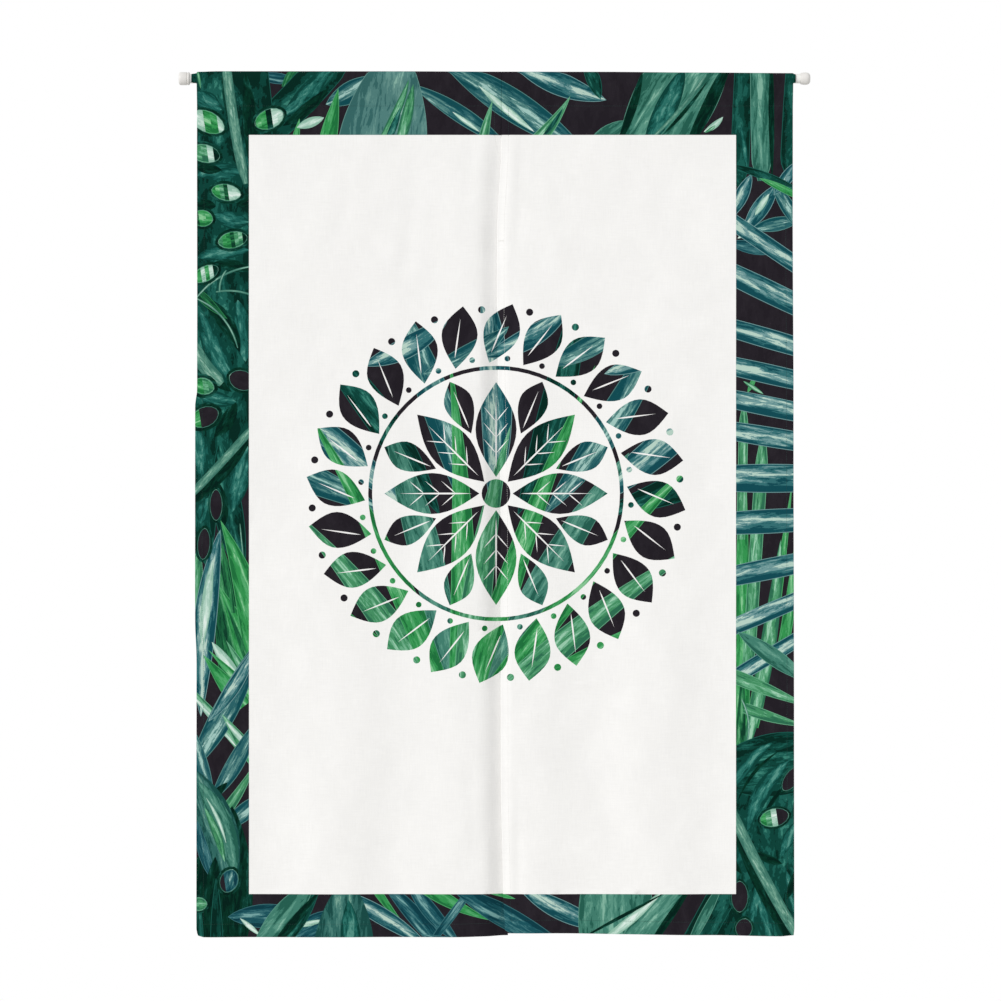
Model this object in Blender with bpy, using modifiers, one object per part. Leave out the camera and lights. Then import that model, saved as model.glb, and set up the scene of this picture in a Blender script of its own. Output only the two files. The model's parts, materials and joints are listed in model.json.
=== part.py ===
# A noren: two printed cloth panels hanging from one rod, with a slit between them.
# Metres, +Z up. The origin is on the rod's axis at the middle of the cloth's width,
# +X is to the viewer's right and the front of the cloth faces -Y.

import math

import bmesh
import bpy
from mathutils import Matrix, Vector

MM = 0.001

# Cloth
SHEET_THICKNESS = 1.2 * MM
HEM_THICKNESS = 2.4 * MM
SIDE_HEM = 11 * MM
BOTTOM_HEM = 20 * MM
HEM_STEP = 2 * MM
LEFT_EDGE_X = -414.6 * MM
RIGHT_EDGE_X = 413.4 * MM

# Rod and its two end caps
ROD_DIAMETER = 13 * MM
ROD_LEFT_X = -431.5 * MM
ROD_RIGHT_X = 430.5 * MM
ROD_SIDES = 24
GAP = 0.3 * MM
LEFT_CAP_OUTER_X = -439.6 * MM
LEFT_CAP_INNER_X = -424.4 * MM
LEFT_CAP_DIAMETER = 18 * MM
RIGHT_CAP_OUTER_X = 436.8 * MM
RIGHT_CAP_INNER_X = 423.6 * MM
RIGHT_CAP_DIAMETER = 17 * MM
CAP_SIDES = 28

# The left cap's rounded foot, its groove and the ring at its open end
FOOT_CORNER = 3.0 * MM
GROOVE_INSET = 3.6 * MM
GROOVE_HALF_WIDTH = 0.6 * MM
GROOVE_DEPTH = 1.1 * MM
RING_INSET = 1.5 * MM
RING_ROUNDING = 1.4 * MM
RING_STEP = 1.6 * MM

# The right cap's flat end, its widest place, and the slope from its collar
BALL_FLAT_RADIUS = 4.4 * MM
BALL_BELLY_INSET = 6.6 * MM
BALL_STEPS = 6
COLLAR_RADIUS = 7.8 * MM
SLOPE_LENGTH = 2.4 * MM
SLOPE_STEP = 0.3 * MM

# Rod pocket: the two layers leave the rod's sides and meet at the seam under it
POCKET_SEAM_DROP = 38 * MM
POCKET_SIDE_SLACK = 0.8 * MM
POCKET_TOP_STEPS = 10
POCKET_SIDE_DROPS = (0, 6 * MM, 12 * MM, 24 * MM)
# where the pocket hugs the rod, its ends reach out along it, past the hanging edges
LEFT_POCKET_REACH = 7.3 * MM
RIGHT_POCKET_REACH = 3.4 * MM
POCKET_REACH_FULL = 4.5 * MM
POCKET_REACH_END = 8 * MM

# Slit: the right panel's inner edge stands in front of the left panel's
LAP = 11 * MM
SLIT_GAP = 0.4 * MM
LAP_START_DROP = 75 * MM
LAP_FULL_DROP = 130 * MM
LEFT_MARGIN = 27 * MM
RIGHT_LIP = 16 * MM
LIP_DEPTH = 2.4 * MM
LIP_START_DROP = 42 * MM
LIP_FULL_DROP = 125 * MM
SEWN_LAP_DEPTH = 3.0 * MM
OPEN_LAP_DEPTH = 6.0 * MM
SLIT_TOP_DROP = 224 * MM
SLIT_OPEN_DROP = 420 * MM
PINCH_DEPTH = 1.6 * MM
PINCH_REACH = 45 * MM

# Grid of each panel, in columns from its edges and rows from its seam
INNER_COLUMNS = (0, 5 * MM, SIDE_HEM, SIDE_HEM + HEM_STEP, 20 * MM, 29 * MM, 44 * MM, 66 * MM)
OUTER_COLUMNS = (0, SIDE_HEM, SIDE_HEM + HEM_STEP, 38 * MM)
MIDDLE_COLUMNS = 9
TOP_ROWS = (0, 16 * MM, 37 * MM, 65 * MM)
BOTTOM_ROWS = (0, BOTTOM_HEM, BOTTOM_HEM + HEM_STEP, 44 * MM)
MIDDLE_ROWS = 23

# The slit's line: drop below the rod's axis, x of the right panel's inner edge
SLIT_LINE = (
    (78 * MM, 8.3 * MM),
    (224 * MM, 2.1 * MM),
    (307 * MM, 2.1 * MM),
    (627 * MM, 6.9 * MM),
    (974 * MM, 7.6 * MM),
    (1127 * MM, 10.4 * MM),
    (1187 * MM, 13.2 * MM),
)

# How far each outer edge strays to the right of its line: drop, shift
LEFT_EDGE_STRAY = (
    (40 * MM, 0.0),
    (310 * MM, 0.2 * MM),
    (430 * MM, 0.2 * MM),
    (455 * MM, -2.6 * MM),
    (750 * MM, -2.6 * MM),
    (810 * MM, -0.6 * MM),
    (1184 * MM, -0.8 * MM),
    (1190 * MM, 1.4 * MM),
)
RIGHT_EDGE_STRAY = (
    (0.0, -0.4 * MM),
    (180 * MM, -0.6 * MM),
    (450 * MM, 0.4 * MM),
    (900 * MM, 1.1 * MM),
    (1180 * MM, 1.5 * MM),
    (1190 * MM, 0.6 * MM),
)

# Height of the pocket's top over the rod's axis: x, height
TOP_LINE = (
    (-415 * MM, 9.8 * MM),
    (-385 * MM, 10.6 * MM),
    (-130 * MM, 10.5 * MM),
    (0.0, 10.0 * MM),
    (145 * MM, 9.8 * MM),
    (285 * MM, 8.8 * MM),
    (413 * MM, 8.0 * MM),
)

# Where each panel ends: x, drop
LEFT_HEM_LINE = (
    (-415 * MM, 1189.6 * MM),
    (-406 * MM, 1192.4 * MM),
    (-60 * MM, 1192.2 * MM),
    (20 * MM, 1190.6 * MM),
)
RIGHT_HEM_LINE = (
    (10 * MM, 1187.2 * MM),
    (75 * MM, 1186.8 * MM),
    (180 * MM, 1188.2 * MM),
    (290 * MM, 1189.6 * MM),
    (395 * MM, 1191.0 * MM),
    (414 * MM, 1189.6 * MM),
)

# Soft folds down the cloth: x at the top, x at the hem, half width, how far it stands
# forward (or back, where negative), the drop where it starts and the drop where it is full
FOLDS = (
    (-398 * MM, -402 * MM, 52 * MM, 1.4 * MM, 150 * MM, 900 * MM),
    (-318 * MM, -322 * MM, 72 * MM, -2.0 * MM, 250 * MM, 1100 * MM),
    (-212 * MM, -218 * MM, 84 * MM, 2.3 * MM, 120 * MM, 1000 * MM),
    (-88 * MM, -150 * MM, 62 * MM, -1.9 * MM, 60 * MM, 420 * MM),
    (-40 * MM, -52 * MM, 46 * MM, 1.2 * MM, 60 * MM, 600 * MM),
    (46 * MM, 62 * MM, 50 * MM, 1.3 * MM, 60 * MM, 500 * MM),
    (124 * MM, 138 * MM, 72 * MM, -2.0 * MM, 160 * MM, 900 * MM),
    (216 * MM, 226 * MM, 80 * MM, 2.1 * MM, 220 * MM, 1100 * MM),
    (312 * MM, 306 * MM, 72 * MM, -1.9 * MM, 120 * MM, 800 * MM),
    (396 * MM, 400 * MM, 56 * MM, 1.6 * MM, 150 * MM, 1000 * MM),
)

# A short soft trough beside the slit, near the right panel's hem
TROUGH_X = 31 * MM
TROUGH_HALF_WIDTH = 13 * MM
TROUGH_DEPTH = 1.2 * MM
TROUGH_START_DROP = 960 * MM
TROUGH_FULL_DROP = 1090 * MM


def ease(t):
    """Goes softly from 0 to 1 as t goes from 0 to 1."""
    t = min(max(t, 0.0), 1.0)
    return t * t * (3 - 2 * t)


def between(start, end, value):
    """How far a value has gone from start to end, eased."""
    return ease((value - start) / (end - start))


def swell(distance, reach):
    """A soft hump that is 1 at no distance and 0 from its reach on."""
    return 1 - ease(abs(distance) / reach)


def read_line(rows, place):
    """The second column of a short table at a place along its first, eased between rows."""
    if place <= rows[0][0]:
        return rows[0][1]
    for (start, low), (end, high) in zip(rows, rows[1:]):
        if place <= end:
            return low + (high - low) * between(start, end, place)
    return rows[-1][1]


def soft_folds(x, drop):
    """How far the cloth stands forward of the rod's plane, away from the slit."""
    forward = 0.0
    for top_x, hem_x, half_width, lift, start, full in FOLDS:
        middle = top_x + (hem_x - top_x) * drop / LEFT_HEM_LINE[1][1]
        forward += lift * between(start, full, drop) * swell(x - middle, half_width)
    return forward


def lip_depth(drop):
    """How far the right panel's inner edge rolls back."""
    pinch = PINCH_DEPTH * swell(drop - SLIT_TOP_DROP, PINCH_REACH)
    return LIP_DEPTH * between(LIP_START_DROP, LIP_FULL_DROP, drop) + pinch


def left_forward(x, drop):
    """The left panel's surface: its margin slopes back behind the right panel."""
    behind = SEWN_LAP_DEPTH * between(POCKET_SEAM_DROP + 4 * MM, LAP_START_DROP, drop)
    behind += (OPEN_LAP_DEPTH - SEWN_LAP_DEPTH) * between(SLIT_TOP_DROP, SLIT_OPEN_DROP, drop)
    slit = read_line(SLIT_LINE, drop)
    slope = between(slit - LEFT_MARGIN, slit, x)
    return soft_folds(x, drop) - (behind + lip_depth(drop)) * slope


def right_forward(x, drop):
    """The right panel's surface: its inner edge rolls back in a narrow lip."""
    slit = read_line(SLIT_LINE, drop)
    lip = 1 - between(slit, slit + RIGHT_LIP, x)
    trough = TROUGH_DEPTH * between(TROUGH_START_DROP, TROUGH_FULL_DROP, drop)
    trough *= swell(x - TROUGH_X, TROUGH_HALF_WIDTH)
    return soft_folds(x, drop) - lip_depth(drop) * lip - trough


def left_edges(drop):
    """The left panel's outer and inner edge at a drop."""
    outer = LEFT_EDGE_X + read_line(LEFT_EDGE_STRAY, drop)
    outer -= LEFT_POCKET_REACH * between(POCKET_REACH_END, POCKET_REACH_FULL, abs(drop))
    lap = LAP * between(LAP_START_DROP, LAP_FULL_DROP, drop)
    return outer, read_line(SLIT_LINE, drop) - SLIT_GAP / 2 + lap


def right_edges(drop):
    """The right panel's outer and inner edge at a drop."""
    outer = RIGHT_EDGE_X + read_line(RIGHT_EDGE_STRAY, drop)
    outer += RIGHT_POCKET_REACH * between(POCKET_REACH_END, POCKET_REACH_FULL, abs(drop))
    return outer, read_line(SLIT_LINE, drop) + SLIT_GAP / 2


def even_run(first, last, pieces):
    """The places that divide a length into equal pieces, its ends left out."""
    return [first + (last - first) * i / pieces for i in range(1, pieces)]


def column_places(outer, inner):
    """The x of every column, from a panel's outer edge to its inner one."""
    inward = 1 if inner > outer else -1
    width = abs(inner - outer)
    middle = even_run(OUTER_COLUMNS[-1], width - INNER_COLUMNS[-1], MIDDLE_COLUMNS)
    near_slit = [width - place for place in reversed(INNER_COLUMNS)]
    return [outer + inward * place for place in [*OUTER_COLUMNS, *middle, *near_slit]]


def row_drops(hem_drop):
    """The drop of every row of the hanging sheet, from the pocket's seam to the hem."""
    top = [POCKET_SEAM_DROP + place for place in TOP_ROWS]
    bottom = [hem_drop - place for place in reversed(BOTTOM_ROWS)]
    return [*top, *even_run(top[-1], bottom[0], MIDDLE_ROWS), *bottom]


def pocket_section(x):
    """The pocket's middle line around the rod, as (y, z), from its seam up the front
    of the rod, over it and down behind it to the seam again."""
    half_width = ROD_DIAMETER / 2 + GAP + SHEET_THICKNESS / 2 + POCKET_SIDE_SLACK
    height = read_line(TOP_LINE, x) - SHEET_THICKNESS / 2
    side = [(half_width * (1 - drop / POCKET_SEAM_DROP), -drop) for drop in POCKET_SIDE_DROPS]
    front = [(-y, z) for y, z in reversed(side)]
    over = []
    for step in range(1, POCKET_TOP_STEPS):
        turn = math.pi * step / POCKET_TOP_STEPS
        over.append((-half_width * math.cos(turn), height * math.sin(turn)))
    seam = (0.0, -POCKET_SEAM_DROP)
    return [seam, *front, *over, *side, seam]


def add_grid(bm, columns, rows):
    """A flat grid in the mesh, as its points by (column, row)."""
    made = bmesh.ops.create_grid(bm, x_segments=columns, y_segments=rows, size=0.5)
    points = {}
    for point in made["verts"]:
        column = round((point.co.x + 0.5) * columns)
        row = round((0.5 - point.co.y) * rows)
        points[column, row] = point
    return points


def is_side_hem(column, last_column):
    """Whether a column is in the doubled cloth of a side hem."""
    return column <= 1 or column >= last_column - 2


def new_material(name, colour, roughness):
    """A plain material in one colour."""
    material = bpy.data.materials.new(name)
    material.use_nodes = True
    shader = material.node_tree.nodes["Principled BSDF"]
    shader.inputs["Base Color"].default_value = (*colour, 1.0)
    shader.inputs["Roughness"].default_value = roughness
    shader.inputs["Metallic"].default_value = 0.0
    return material


def new_object(name, bm, material, collection):
    """An object in the collection, made from a finished mesh."""
    mesh = bpy.data.meshes.new(name)
    bm.to_mesh(mesh)
    bm.free()
    mesh.materials.append(material)
    mesh.shade_smooth()
    mesh.set_sharp_from_angle(angle=math.radians(40))
    piece = bpy.data.objects.new(name, mesh)
    collection.objects.link(piece)
    return piece


def make_panel(name, edges, forward, hem_line, material, collection):
    """One panel: a pocket rolled around the rod and a sheet that hangs from its seam."""
    bm = bmesh.new()
    thickness = bm.verts.layers.deform.verify()
    last_column = len(column_places(*edges(0.0))) - 1
    last_row = len(row_drops(hem_line[0][1])) - 1

    sheet = add_grid(bm, last_column, last_row)
    for (column, row), point in sheet.items():
        drop = row_drops(hem_line[0][1])[row]
        for _ in range(2):
            x = column_places(*edges(drop))[column]
            drop = row_drops(read_line(hem_line, x))[row]
        point.co = Vector((x, -forward(x, drop), -drop))
        hemmed = is_side_hem(column, last_column) or row >= last_row - 1
        point[thickness][0] = 1.0 if hemmed else SHEET_THICKNESS / HEM_THICKNESS

    section_steps = len(pocket_section(0.0)) - 1
    pocket = add_grid(bm, last_column, section_steps)
    for (column, row), point in pocket.items():
        middle_x = column_places(*edges(POCKET_SEAM_DROP))[column]
        y, z = pocket_section(middle_x)[row]
        x = column_places(*edges(-z))[column]
        point.co = Vector((x, y, z))
        hemmed = is_side_hem(column, last_column) and row in (0, section_steps)
        point[thickness][0] = 1.0 if hemmed else SHEET_THICKNESS / HEM_THICKNESS

    bmesh.ops.remove_doubles(bm, verts=bm.verts, dist=0.01 * MM)
    bmesh.ops.recalc_face_normals(bm, faces=bm.faces)
    piece = new_object(name, bm, material, collection)
    group = piece.vertex_groups.new(name="thickness")
    solid = piece.modifiers.new("cloth thickness", "SOLIDIFY")
    solid.solidify_mode = "NON_MANIFOLD"
    solid.nonmanifold_thickness_mode = "CONSTRAINTS"
    solid.nonmanifold_boundary_mode = "NONE"
    solid.thickness = HEM_THICKNESS
    solid.offset = 0
    solid.vertex_group = group.name
    return piece


def turn_piece(name, profile, material, collection):
    """A piece turned about the X axis from a closed profile of (x, radius) points."""
    bm = bmesh.new()
    ring = [bm.verts.new((x, 0.0, radius)) for x, radius in profile]
    for start, end in zip(ring, ring[1:]):
        bm.edges.new((start, end))
    piece = new_object(name, bm, material, collection)
    screw = piece.modifiers.new("turn", "SCREW")
    screw.axis = "X"
    screw.steps = CAP_SIDES
    screw.render_steps = CAP_SIDES
    screw.use_merge_vertices = True
    screw.merge_threshold = 0.05 * MM
    screw.use_normal_calculate = True
    return piece


def arc_points(x, radius, size, start, end, steps):
    """Points on an arc about (x, radius), its angles in degrees from +X toward +radius."""
    turns = [math.radians(start + (end - start) * i / steps) for i in range(steps + 1)]
    return [(x + size * math.cos(turn), radius + size * math.sin(turn)) for turn in turns]


def make_left_cap(material, collection):
    """The left cap: a straight barrel with a groove and a ring at its open end."""
    radius = LEFT_CAP_DIAMETER / 2
    groove_x = LEFT_CAP_INNER_X - GROOVE_INSET
    ring_x = LEFT_CAP_INNER_X - RING_INSET
    bore = ROD_DIAMETER / 2 + GAP
    foot_x = LEFT_CAP_OUTER_X + FOOT_CORNER
    profile = [
        (LEFT_CAP_OUTER_X, 0.0),
        *arc_points(foot_x, radius - FOOT_CORNER, FOOT_CORNER, 180, 90, 4),
        (groove_x - GROOVE_HALF_WIDTH, radius),
        (groove_x, radius - GROOVE_DEPTH),
        (groove_x + GROOVE_HALF_WIDTH, radius),
        *arc_points(ring_x, radius - RING_ROUNDING, RING_ROUNDING, 90, 0, 3),
        (LEFT_CAP_INNER_X, radius - RING_STEP),
        (LEFT_CAP_INNER_X, bore),
        (ROD_LEFT_X - GAP, bore),
        (ROD_LEFT_X - GAP, 0.0),
    ]
    return turn_piece("end_cap_left", profile, material, collection)


def make_right_cap(material, collection):
    """The right cap: rounded like a ball, with a small flat face at its outer end."""
    radius = RIGHT_CAP_DIAMETER / 2
    belly_x = RIGHT_CAP_OUTER_X - BALL_BELLY_INSET
    bore = ROD_DIAMETER / 2 + GAP
    outer_turn = math.asin(BALL_FLAT_RADIUS / radius)
    reach = BALL_BELLY_INSET / math.cos(outer_turn)
    ball = []
    for step in range(BALL_STEPS + 1):
        turn = math.pi / 2 + (outer_turn - math.pi / 2) * step / BALL_STEPS
        ball.append((belly_x + reach * math.cos(turn), radius * math.sin(turn)))
    profile = [
        (ROD_RIGHT_X + GAP, 0.0),
        (ROD_RIGHT_X + GAP, bore),
        (RIGHT_CAP_INNER_X, bore),
        (RIGHT_CAP_INNER_X, COLLAR_RADIUS),
        (RIGHT_CAP_INNER_X + SLOPE_LENGTH, radius - SLOPE_STEP),
        *ball,
        (RIGHT_CAP_OUTER_X, 0.0),
    ]
    return turn_piece("end_cap_right", profile, material, collection)


def make_rod(material, collection):
    """The rod: one straight round bar through both pockets."""
    length = ROD_RIGHT_X - ROD_LEFT_X
    bm = bmesh.new()
    along_x = Matrix.Translation(((ROD_LEFT_X + ROD_RIGHT_X) / 2, 0, 0)) @ Matrix.Rotation(
        math.pi / 2, 4, "Y"
    )
    bmesh.ops.create_cone(
        bm,
        cap_ends=True,
        segments=ROD_SIDES,
        radius1=ROD_DIAMETER / 2,
        radius2=ROD_DIAMETER / 2,
        depth=length,
        matrix=along_x,
    )
    return new_object("rod", bm, material, collection)


def main():
    for old in list(bpy.data.objects):
        bpy.data.objects.remove(old, do_unlink=True)
    collection = bpy.data.collections.new("noren_curtain")
    bpy.context.scene.collection.children.link(collection)

    left_cloth = new_material("cloth_left", (0.90, 0.89, 0.86), 0.85)
    right_cloth = new_material("cloth_right", (0.90, 0.89, 0.86), 0.85)
    enamel = new_material("rod_enamel", (0.88, 0.88, 0.87), 0.35)
    left_plastic = new_material("cap_plastic_left", (0.86, 0.85, 0.84), 0.45)
    right_plastic = new_material("cap_plastic_right", (0.86, 0.85, 0.84), 0.45)

    make_panel("panel_left", left_edges, left_forward, LEFT_HEM_LINE, left_cloth, collection)
    make_panel("panel_right", right_edges, right_forward, RIGHT_HEM_LINE, right_cloth, collection)
    make_rod(enamel, collection)
    make_left_cap(left_plastic, collection)
    make_right_cap(right_plastic, collection)


main()
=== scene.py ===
import itertools
import json
import math
from collections import namedtuple

import bpy
import numpy as np
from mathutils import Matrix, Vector
from mathutils.geometry import delaunay_2d_cdt

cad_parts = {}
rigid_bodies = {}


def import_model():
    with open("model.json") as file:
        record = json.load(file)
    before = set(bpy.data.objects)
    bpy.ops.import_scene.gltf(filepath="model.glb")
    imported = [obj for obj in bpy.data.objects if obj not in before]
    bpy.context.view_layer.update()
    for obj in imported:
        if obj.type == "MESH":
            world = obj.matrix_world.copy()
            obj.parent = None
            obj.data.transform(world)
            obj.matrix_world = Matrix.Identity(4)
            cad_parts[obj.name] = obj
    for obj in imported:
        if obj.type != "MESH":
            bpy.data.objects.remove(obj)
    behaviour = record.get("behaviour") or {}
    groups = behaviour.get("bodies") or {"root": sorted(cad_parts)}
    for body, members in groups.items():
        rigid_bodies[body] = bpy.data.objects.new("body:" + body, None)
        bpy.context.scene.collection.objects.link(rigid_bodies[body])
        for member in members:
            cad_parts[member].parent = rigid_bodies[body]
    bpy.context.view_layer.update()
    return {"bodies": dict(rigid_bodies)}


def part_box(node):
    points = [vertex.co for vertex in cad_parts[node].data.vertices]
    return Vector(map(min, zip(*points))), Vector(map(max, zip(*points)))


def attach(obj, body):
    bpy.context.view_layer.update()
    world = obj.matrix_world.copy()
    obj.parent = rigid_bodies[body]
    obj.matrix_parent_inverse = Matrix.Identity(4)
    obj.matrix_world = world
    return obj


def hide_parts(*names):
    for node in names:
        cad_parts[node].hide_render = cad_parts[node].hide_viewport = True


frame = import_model()

bl_info = {
    "name": "Noren curtain",
    "version": (1, 0, 0),
    "blender": (4, 5, 0),
    "location": "View3D > Sidebar > Noren",
    "description": "Dresses a doorway curtain of two printed panels on their rod",
    "category": "Add Mesh",
}

# Cloth is worked out in millimetres, across (x) and along (drop below the rod's axis)
MM = 0.001
ROD_LOW, ROD_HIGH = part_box("rod")
LEFT_FOOT_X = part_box("end_cap_left")[0][0]
RIGHT_FOOT_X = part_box("end_cap_right")[1][0]

# Outline of the hanging cloth
LEFT_EDGE_X = -414.6
RIGHT_EDGE_X = 413.4
LEFT_EDGE_STRAY = ((40, 0), (310, 0.2), (430, 0.2), (455, -2.6), (750, -2.6), (810, -0.6),
                   (1184, -0.8), (1190, 1.4))
RIGHT_EDGE_STRAY = ((0, -0.4), (180, -0.6), (450, 0.4), (900, 1.1), (1180, 1.5), (1190, 0.6))
TOP_LINE = ((-415, 9.8), (-385, 10.6), (-130, 10.5), (0, 10.0), (145, 9.8), (285, 8.8), (413, 8.0))
LEFT_HEM_LINE = ((-415, 1189.6), (-406, 1192.4), (-60, 1192.2), (20, 1190.6))
RIGHT_HEM_LINE = ((10, 1187.2), (75, 1186.8), (180, 1188.2), (290, 1189.6), (395, 1191.0),
                  (414, 1189.6))
FULL_DROP = 1192.4

# Rod pocket
POCKET_SEAM_DROP = 38
POCKET_HALF_WIDTH = 8.2
POCKET_TOP_RUN = 28.7
POCKET_TAIL = 5
LEFT_POCKET_REACH = 7.3
RIGHT_POCKET_REACH = 3.4
POCKET_REACH_FULL = 6.0
POCKET_REACH_END = 7.0
POCKET_CLOSE_START = 18
POCKET_RISE = 9

# Slit and lap
LAP = 11
SLIT_GAP = 0.4
LAP_START_DROP = 75
LAP_FULL_DROP = 130
HEM_LAP = 4
HEM_LAP_START_DROP = 1120
HEM_LAP_FULL_DROP = 1186
LEFT_MARGIN = 27
RIGHT_LIP = 16
LIP_DEPTH = 2.4
LIP_START_DROP = 42
LIP_FULL_DROP = 125
SEWN_LAP_DEPTH = 3.0
OPEN_LAP_DEPTH = 6.0
SLIT_TOP_DROP = 224
SLIT_OPEN_DROP = 420
PINCH_DEPTH = 1.6
PINCH_REACH = 45
SLIT_LINE = ((78, 8.3), (224, 2.1), (307, 2.1), (627, 6.9), (974, 7.6), (1127, 10.4), (1187, 13.2))

# Folds: x at the top, x at the hem, half width, lift forward, start drop, full drop
FOLDS = (
    (-398, -402, 52, 1.4, 150, 900),
    (-318, -322, 72, -2.0, 250, 1100),
    (-212, -218, 84, 2.3, 120, 1000),
    (-88, -150, 62, -1.9, 60, 420),
    (-40, -52, 46, 1.2, 60, 600),
    (46, 62, 50, 1.3, 60, 500),
    (124, 138, 72, -2.0, 160, 900),
    (216, 226, 80, 2.1, 220, 1100),
    (312, 306, 72, -1.9, 120, 800),
    (396, 400, 56, 1.6, 150, 1000),
)
TROUGH_X, TROUGH_HALF_WIDTH, TROUGH_DEPTH = 31, 13, 1.2
TROUGH_START_DROP, TROUGH_FULL_DROP = 960, 1090

# Creases left from folding and hanging: x and drop of one end, of the other end,
# half width, depth (a ridge where negative)
CREASES = (
    (-112, 150, -130, 300, 18, 1.1),
    (-30, 60, -44, 200, 10, 0.7),
    (38, 60, 30, 260, 9, 0.8),
    (60, 90, 95, 300, 20, -0.7),
    (-200, 60, -215, 260, 22, 0.7),
    (180, 50, 196, 230, 20, 0.6),
    (-320, 300, -250, 420, 26, -0.7),
    (260, 340, 330, 300, 24, 0.7),
    (-60, 420, -30, 620, 16, 0.8),
    (40, 640, 62, 880, 17, 0.6),
    (-150, 820, -110, 1010, 24, -0.5),
    (120, 900, 170, 1080, 26, 0.5),
    (-290, 900, -270, 1100, 24, 0.4),
    (290, 780, 300, 1000, 26, -0.4),
    (-40, 900, -24, 1120, 12, 0.8),
    (-402, 640, -372, 760, 16, 0.7),
    (372, 700, 398, 860, 16, 0.7),
)
# Slackness of the whole cloth: height, waves across and along (mm a wave), start
SLACKNESS = (
    (0.35, 190, 430, 0.4),
    (0.25, 118, -260, 2.1),
    (0.16, -83, 150, 4.0),
    (0.10, 61, 97, 1.2),
)

# End caps: how far in from the outer end, and the radius there
BARREL_CAP = (
    (0, 6.0), (0.13, 6.9), (0.5, 7.7), (1.1, 8.4), (1.9, 8.8), (3.0, 9.0), (10.8, 9.0), (11.0, 8.9),
    (11.3, 8.2), (11.6, 7.9), (11.9, 8.2), (12.2, 8.9), (12.4, 9.0), (13.7, 9.0), (14.3, 8.8),
    (14.8, 8.3), (15.0, 7.7), (15.2, 7.4), (15.2, 6.95), (15.0, 6.8), (7.9, 6.8), (7.9, 0.5),
)
BALL_CAP = (
    (0, 4.4), (0.25, 5.3), (0.9, 6.35), (1.9, 7.35), (3.1, 8.0), (4.6, 8.4), (6.6, 8.5), (9.0, 8.4),
    (10.8, 8.2), (12.2, 7.95), (13.0, 7.8), (13.2, 7.6), (13.2, 6.95), (13.0, 6.8), (6.1, 6.8),
    (6.1, 0.5),
)
# How far inside the foot its hollow's floor, wall and rim lie
FOOT_FLOOR, FOOT_WALL, FOOT_RIM = 2.2, 1.5, 0.9

# Hems and the turned edge
SIDE_HEM = 11
BOTTOM_HEM = 20
FOLD_RADIUS = 0.4
CLOTH_THICKNESS = 0.5 * MM
RIGHT_CUT_NARROWER = 0.016
EDGE_INSET = 0.3
TOP_INSET = 0.6
HEM_FADE = 4
SLIT_INSET = 0.04
EDGE_LINES = (0.8, 0.4, 0.1, -0.2, -0.5, -0.9, -6)
SLIT_LINES = (3, 5.5, 8, 10.5, 13, 16, 20, 24, 29)
LATTICE = 8
LATTICE_LEFT, LATTICE_RIGHT = -436, 437
TOP_ROW_STEP = 1.9

# Stitching: how far it runs inside the edges, how much cloth a turned edge takes, the tack
# where the slit opens
HEM_STITCH = 9.5
BOTTOM_STITCH = 18
TURN_LOSS = (math.pi - 2) * FOLD_RADIUS
TACK_STITCHES, TACK_STEP, TACK_HEIGHT = 14, 0.6, 2.2
# How high a thread stands and how deep its ends dip, in radii, and where it is fully up
THREAD_STANDS, THREAD_DIPS, THREAD_SHOULDERS = 0.6, 1.6, (0.2, 0.8)

# The printed design: how far it reaches, the plain field, the roundel
PRINT_TOP, PRINT_BOTTOM = -90, 1240
FIELD_LEFT, FIELD_RIGHT = -342.4, 334.0
FIELD_TOP, FIELD_BOTTOM = 78.2, 1132.4
ROUNDEL_X, ROUNDEL_DROP, ROUNDEL_RADIUS = 0.7, 576.1, 265


def ease(t):
    """Goes softly from 0 to 1 as t goes from 0 to 1."""
    t = np.clip(t, 0.0, 1.0)
    return t * t * (3 - 2 * t)


def between(start, end, value):
    """How far a value has gone from start to end, eased."""
    return ease((value - start) / (end - start))


def swell(distance, reach):
    """A soft hump that is 1 at no distance and 0 from its reach on."""
    return 1 - ease(abs(distance) / reach)


def read_line(rows, place):
    """The second column of a short table at places along its first, eased between rows."""
    places, values = np.array(rows, dtype=float).T
    place = np.clip(place, places[0], places[-1])
    row = np.clip(np.searchsorted(places, place, side="right") - 1, 0, len(places) - 2)
    share = between(places[row], places[row + 1], place)
    return values[row] + (values[row + 1] - values[row]) * share


def soft_folds(x, drop):
    """How far the cloth stands forward of the rod's plane, away from the slit."""
    forward = 0.0
    for top_x, hem_x, half_width, lift, start, full in FOLDS:
        middle = top_x + (hem_x - top_x) * drop / FULL_DROP
        forward = forward + lift * between(start, full, drop) * swell(x - middle, half_width)
    return forward


def creases(x, drop):
    """Small troughs and ridges over the folds, none of them at the pocket's seam."""
    forward = 0.0
    for x0, drop0, x1, drop1, half_width, depth in CREASES:
        run = np.array((x1 - x0, drop1 - drop0), dtype=float)
        length = math.hypot(*run)
        run /= length
        along = ((x - x0) * run[0] + (drop - drop0) * run[1]) / length
        across = (x - x0) * run[1] - (drop - drop0) * run[0]
        ends = ease(along * 3) * ease((1 - along) * 3)
        forward = forward - depth * ends * swell(across, half_width)
    for height, wave_across, wave_along, start in SLACKNESS:
        turn = 2 * math.pi * (x / wave_across + drop / wave_along) + start
        forward = forward + height * np.sin(turn)
    return forward * between(POCKET_SEAM_DROP + 4, POCKET_SEAM_DROP + 60, drop)


def lip_depth(drop):
    """How far the right panel's inner edge rolls back."""
    pinch = PINCH_DEPTH * swell(drop - SLIT_TOP_DROP, PINCH_REACH)
    return LIP_DEPTH * between(LIP_START_DROP, LIP_FULL_DROP, drop) + pinch


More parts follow.
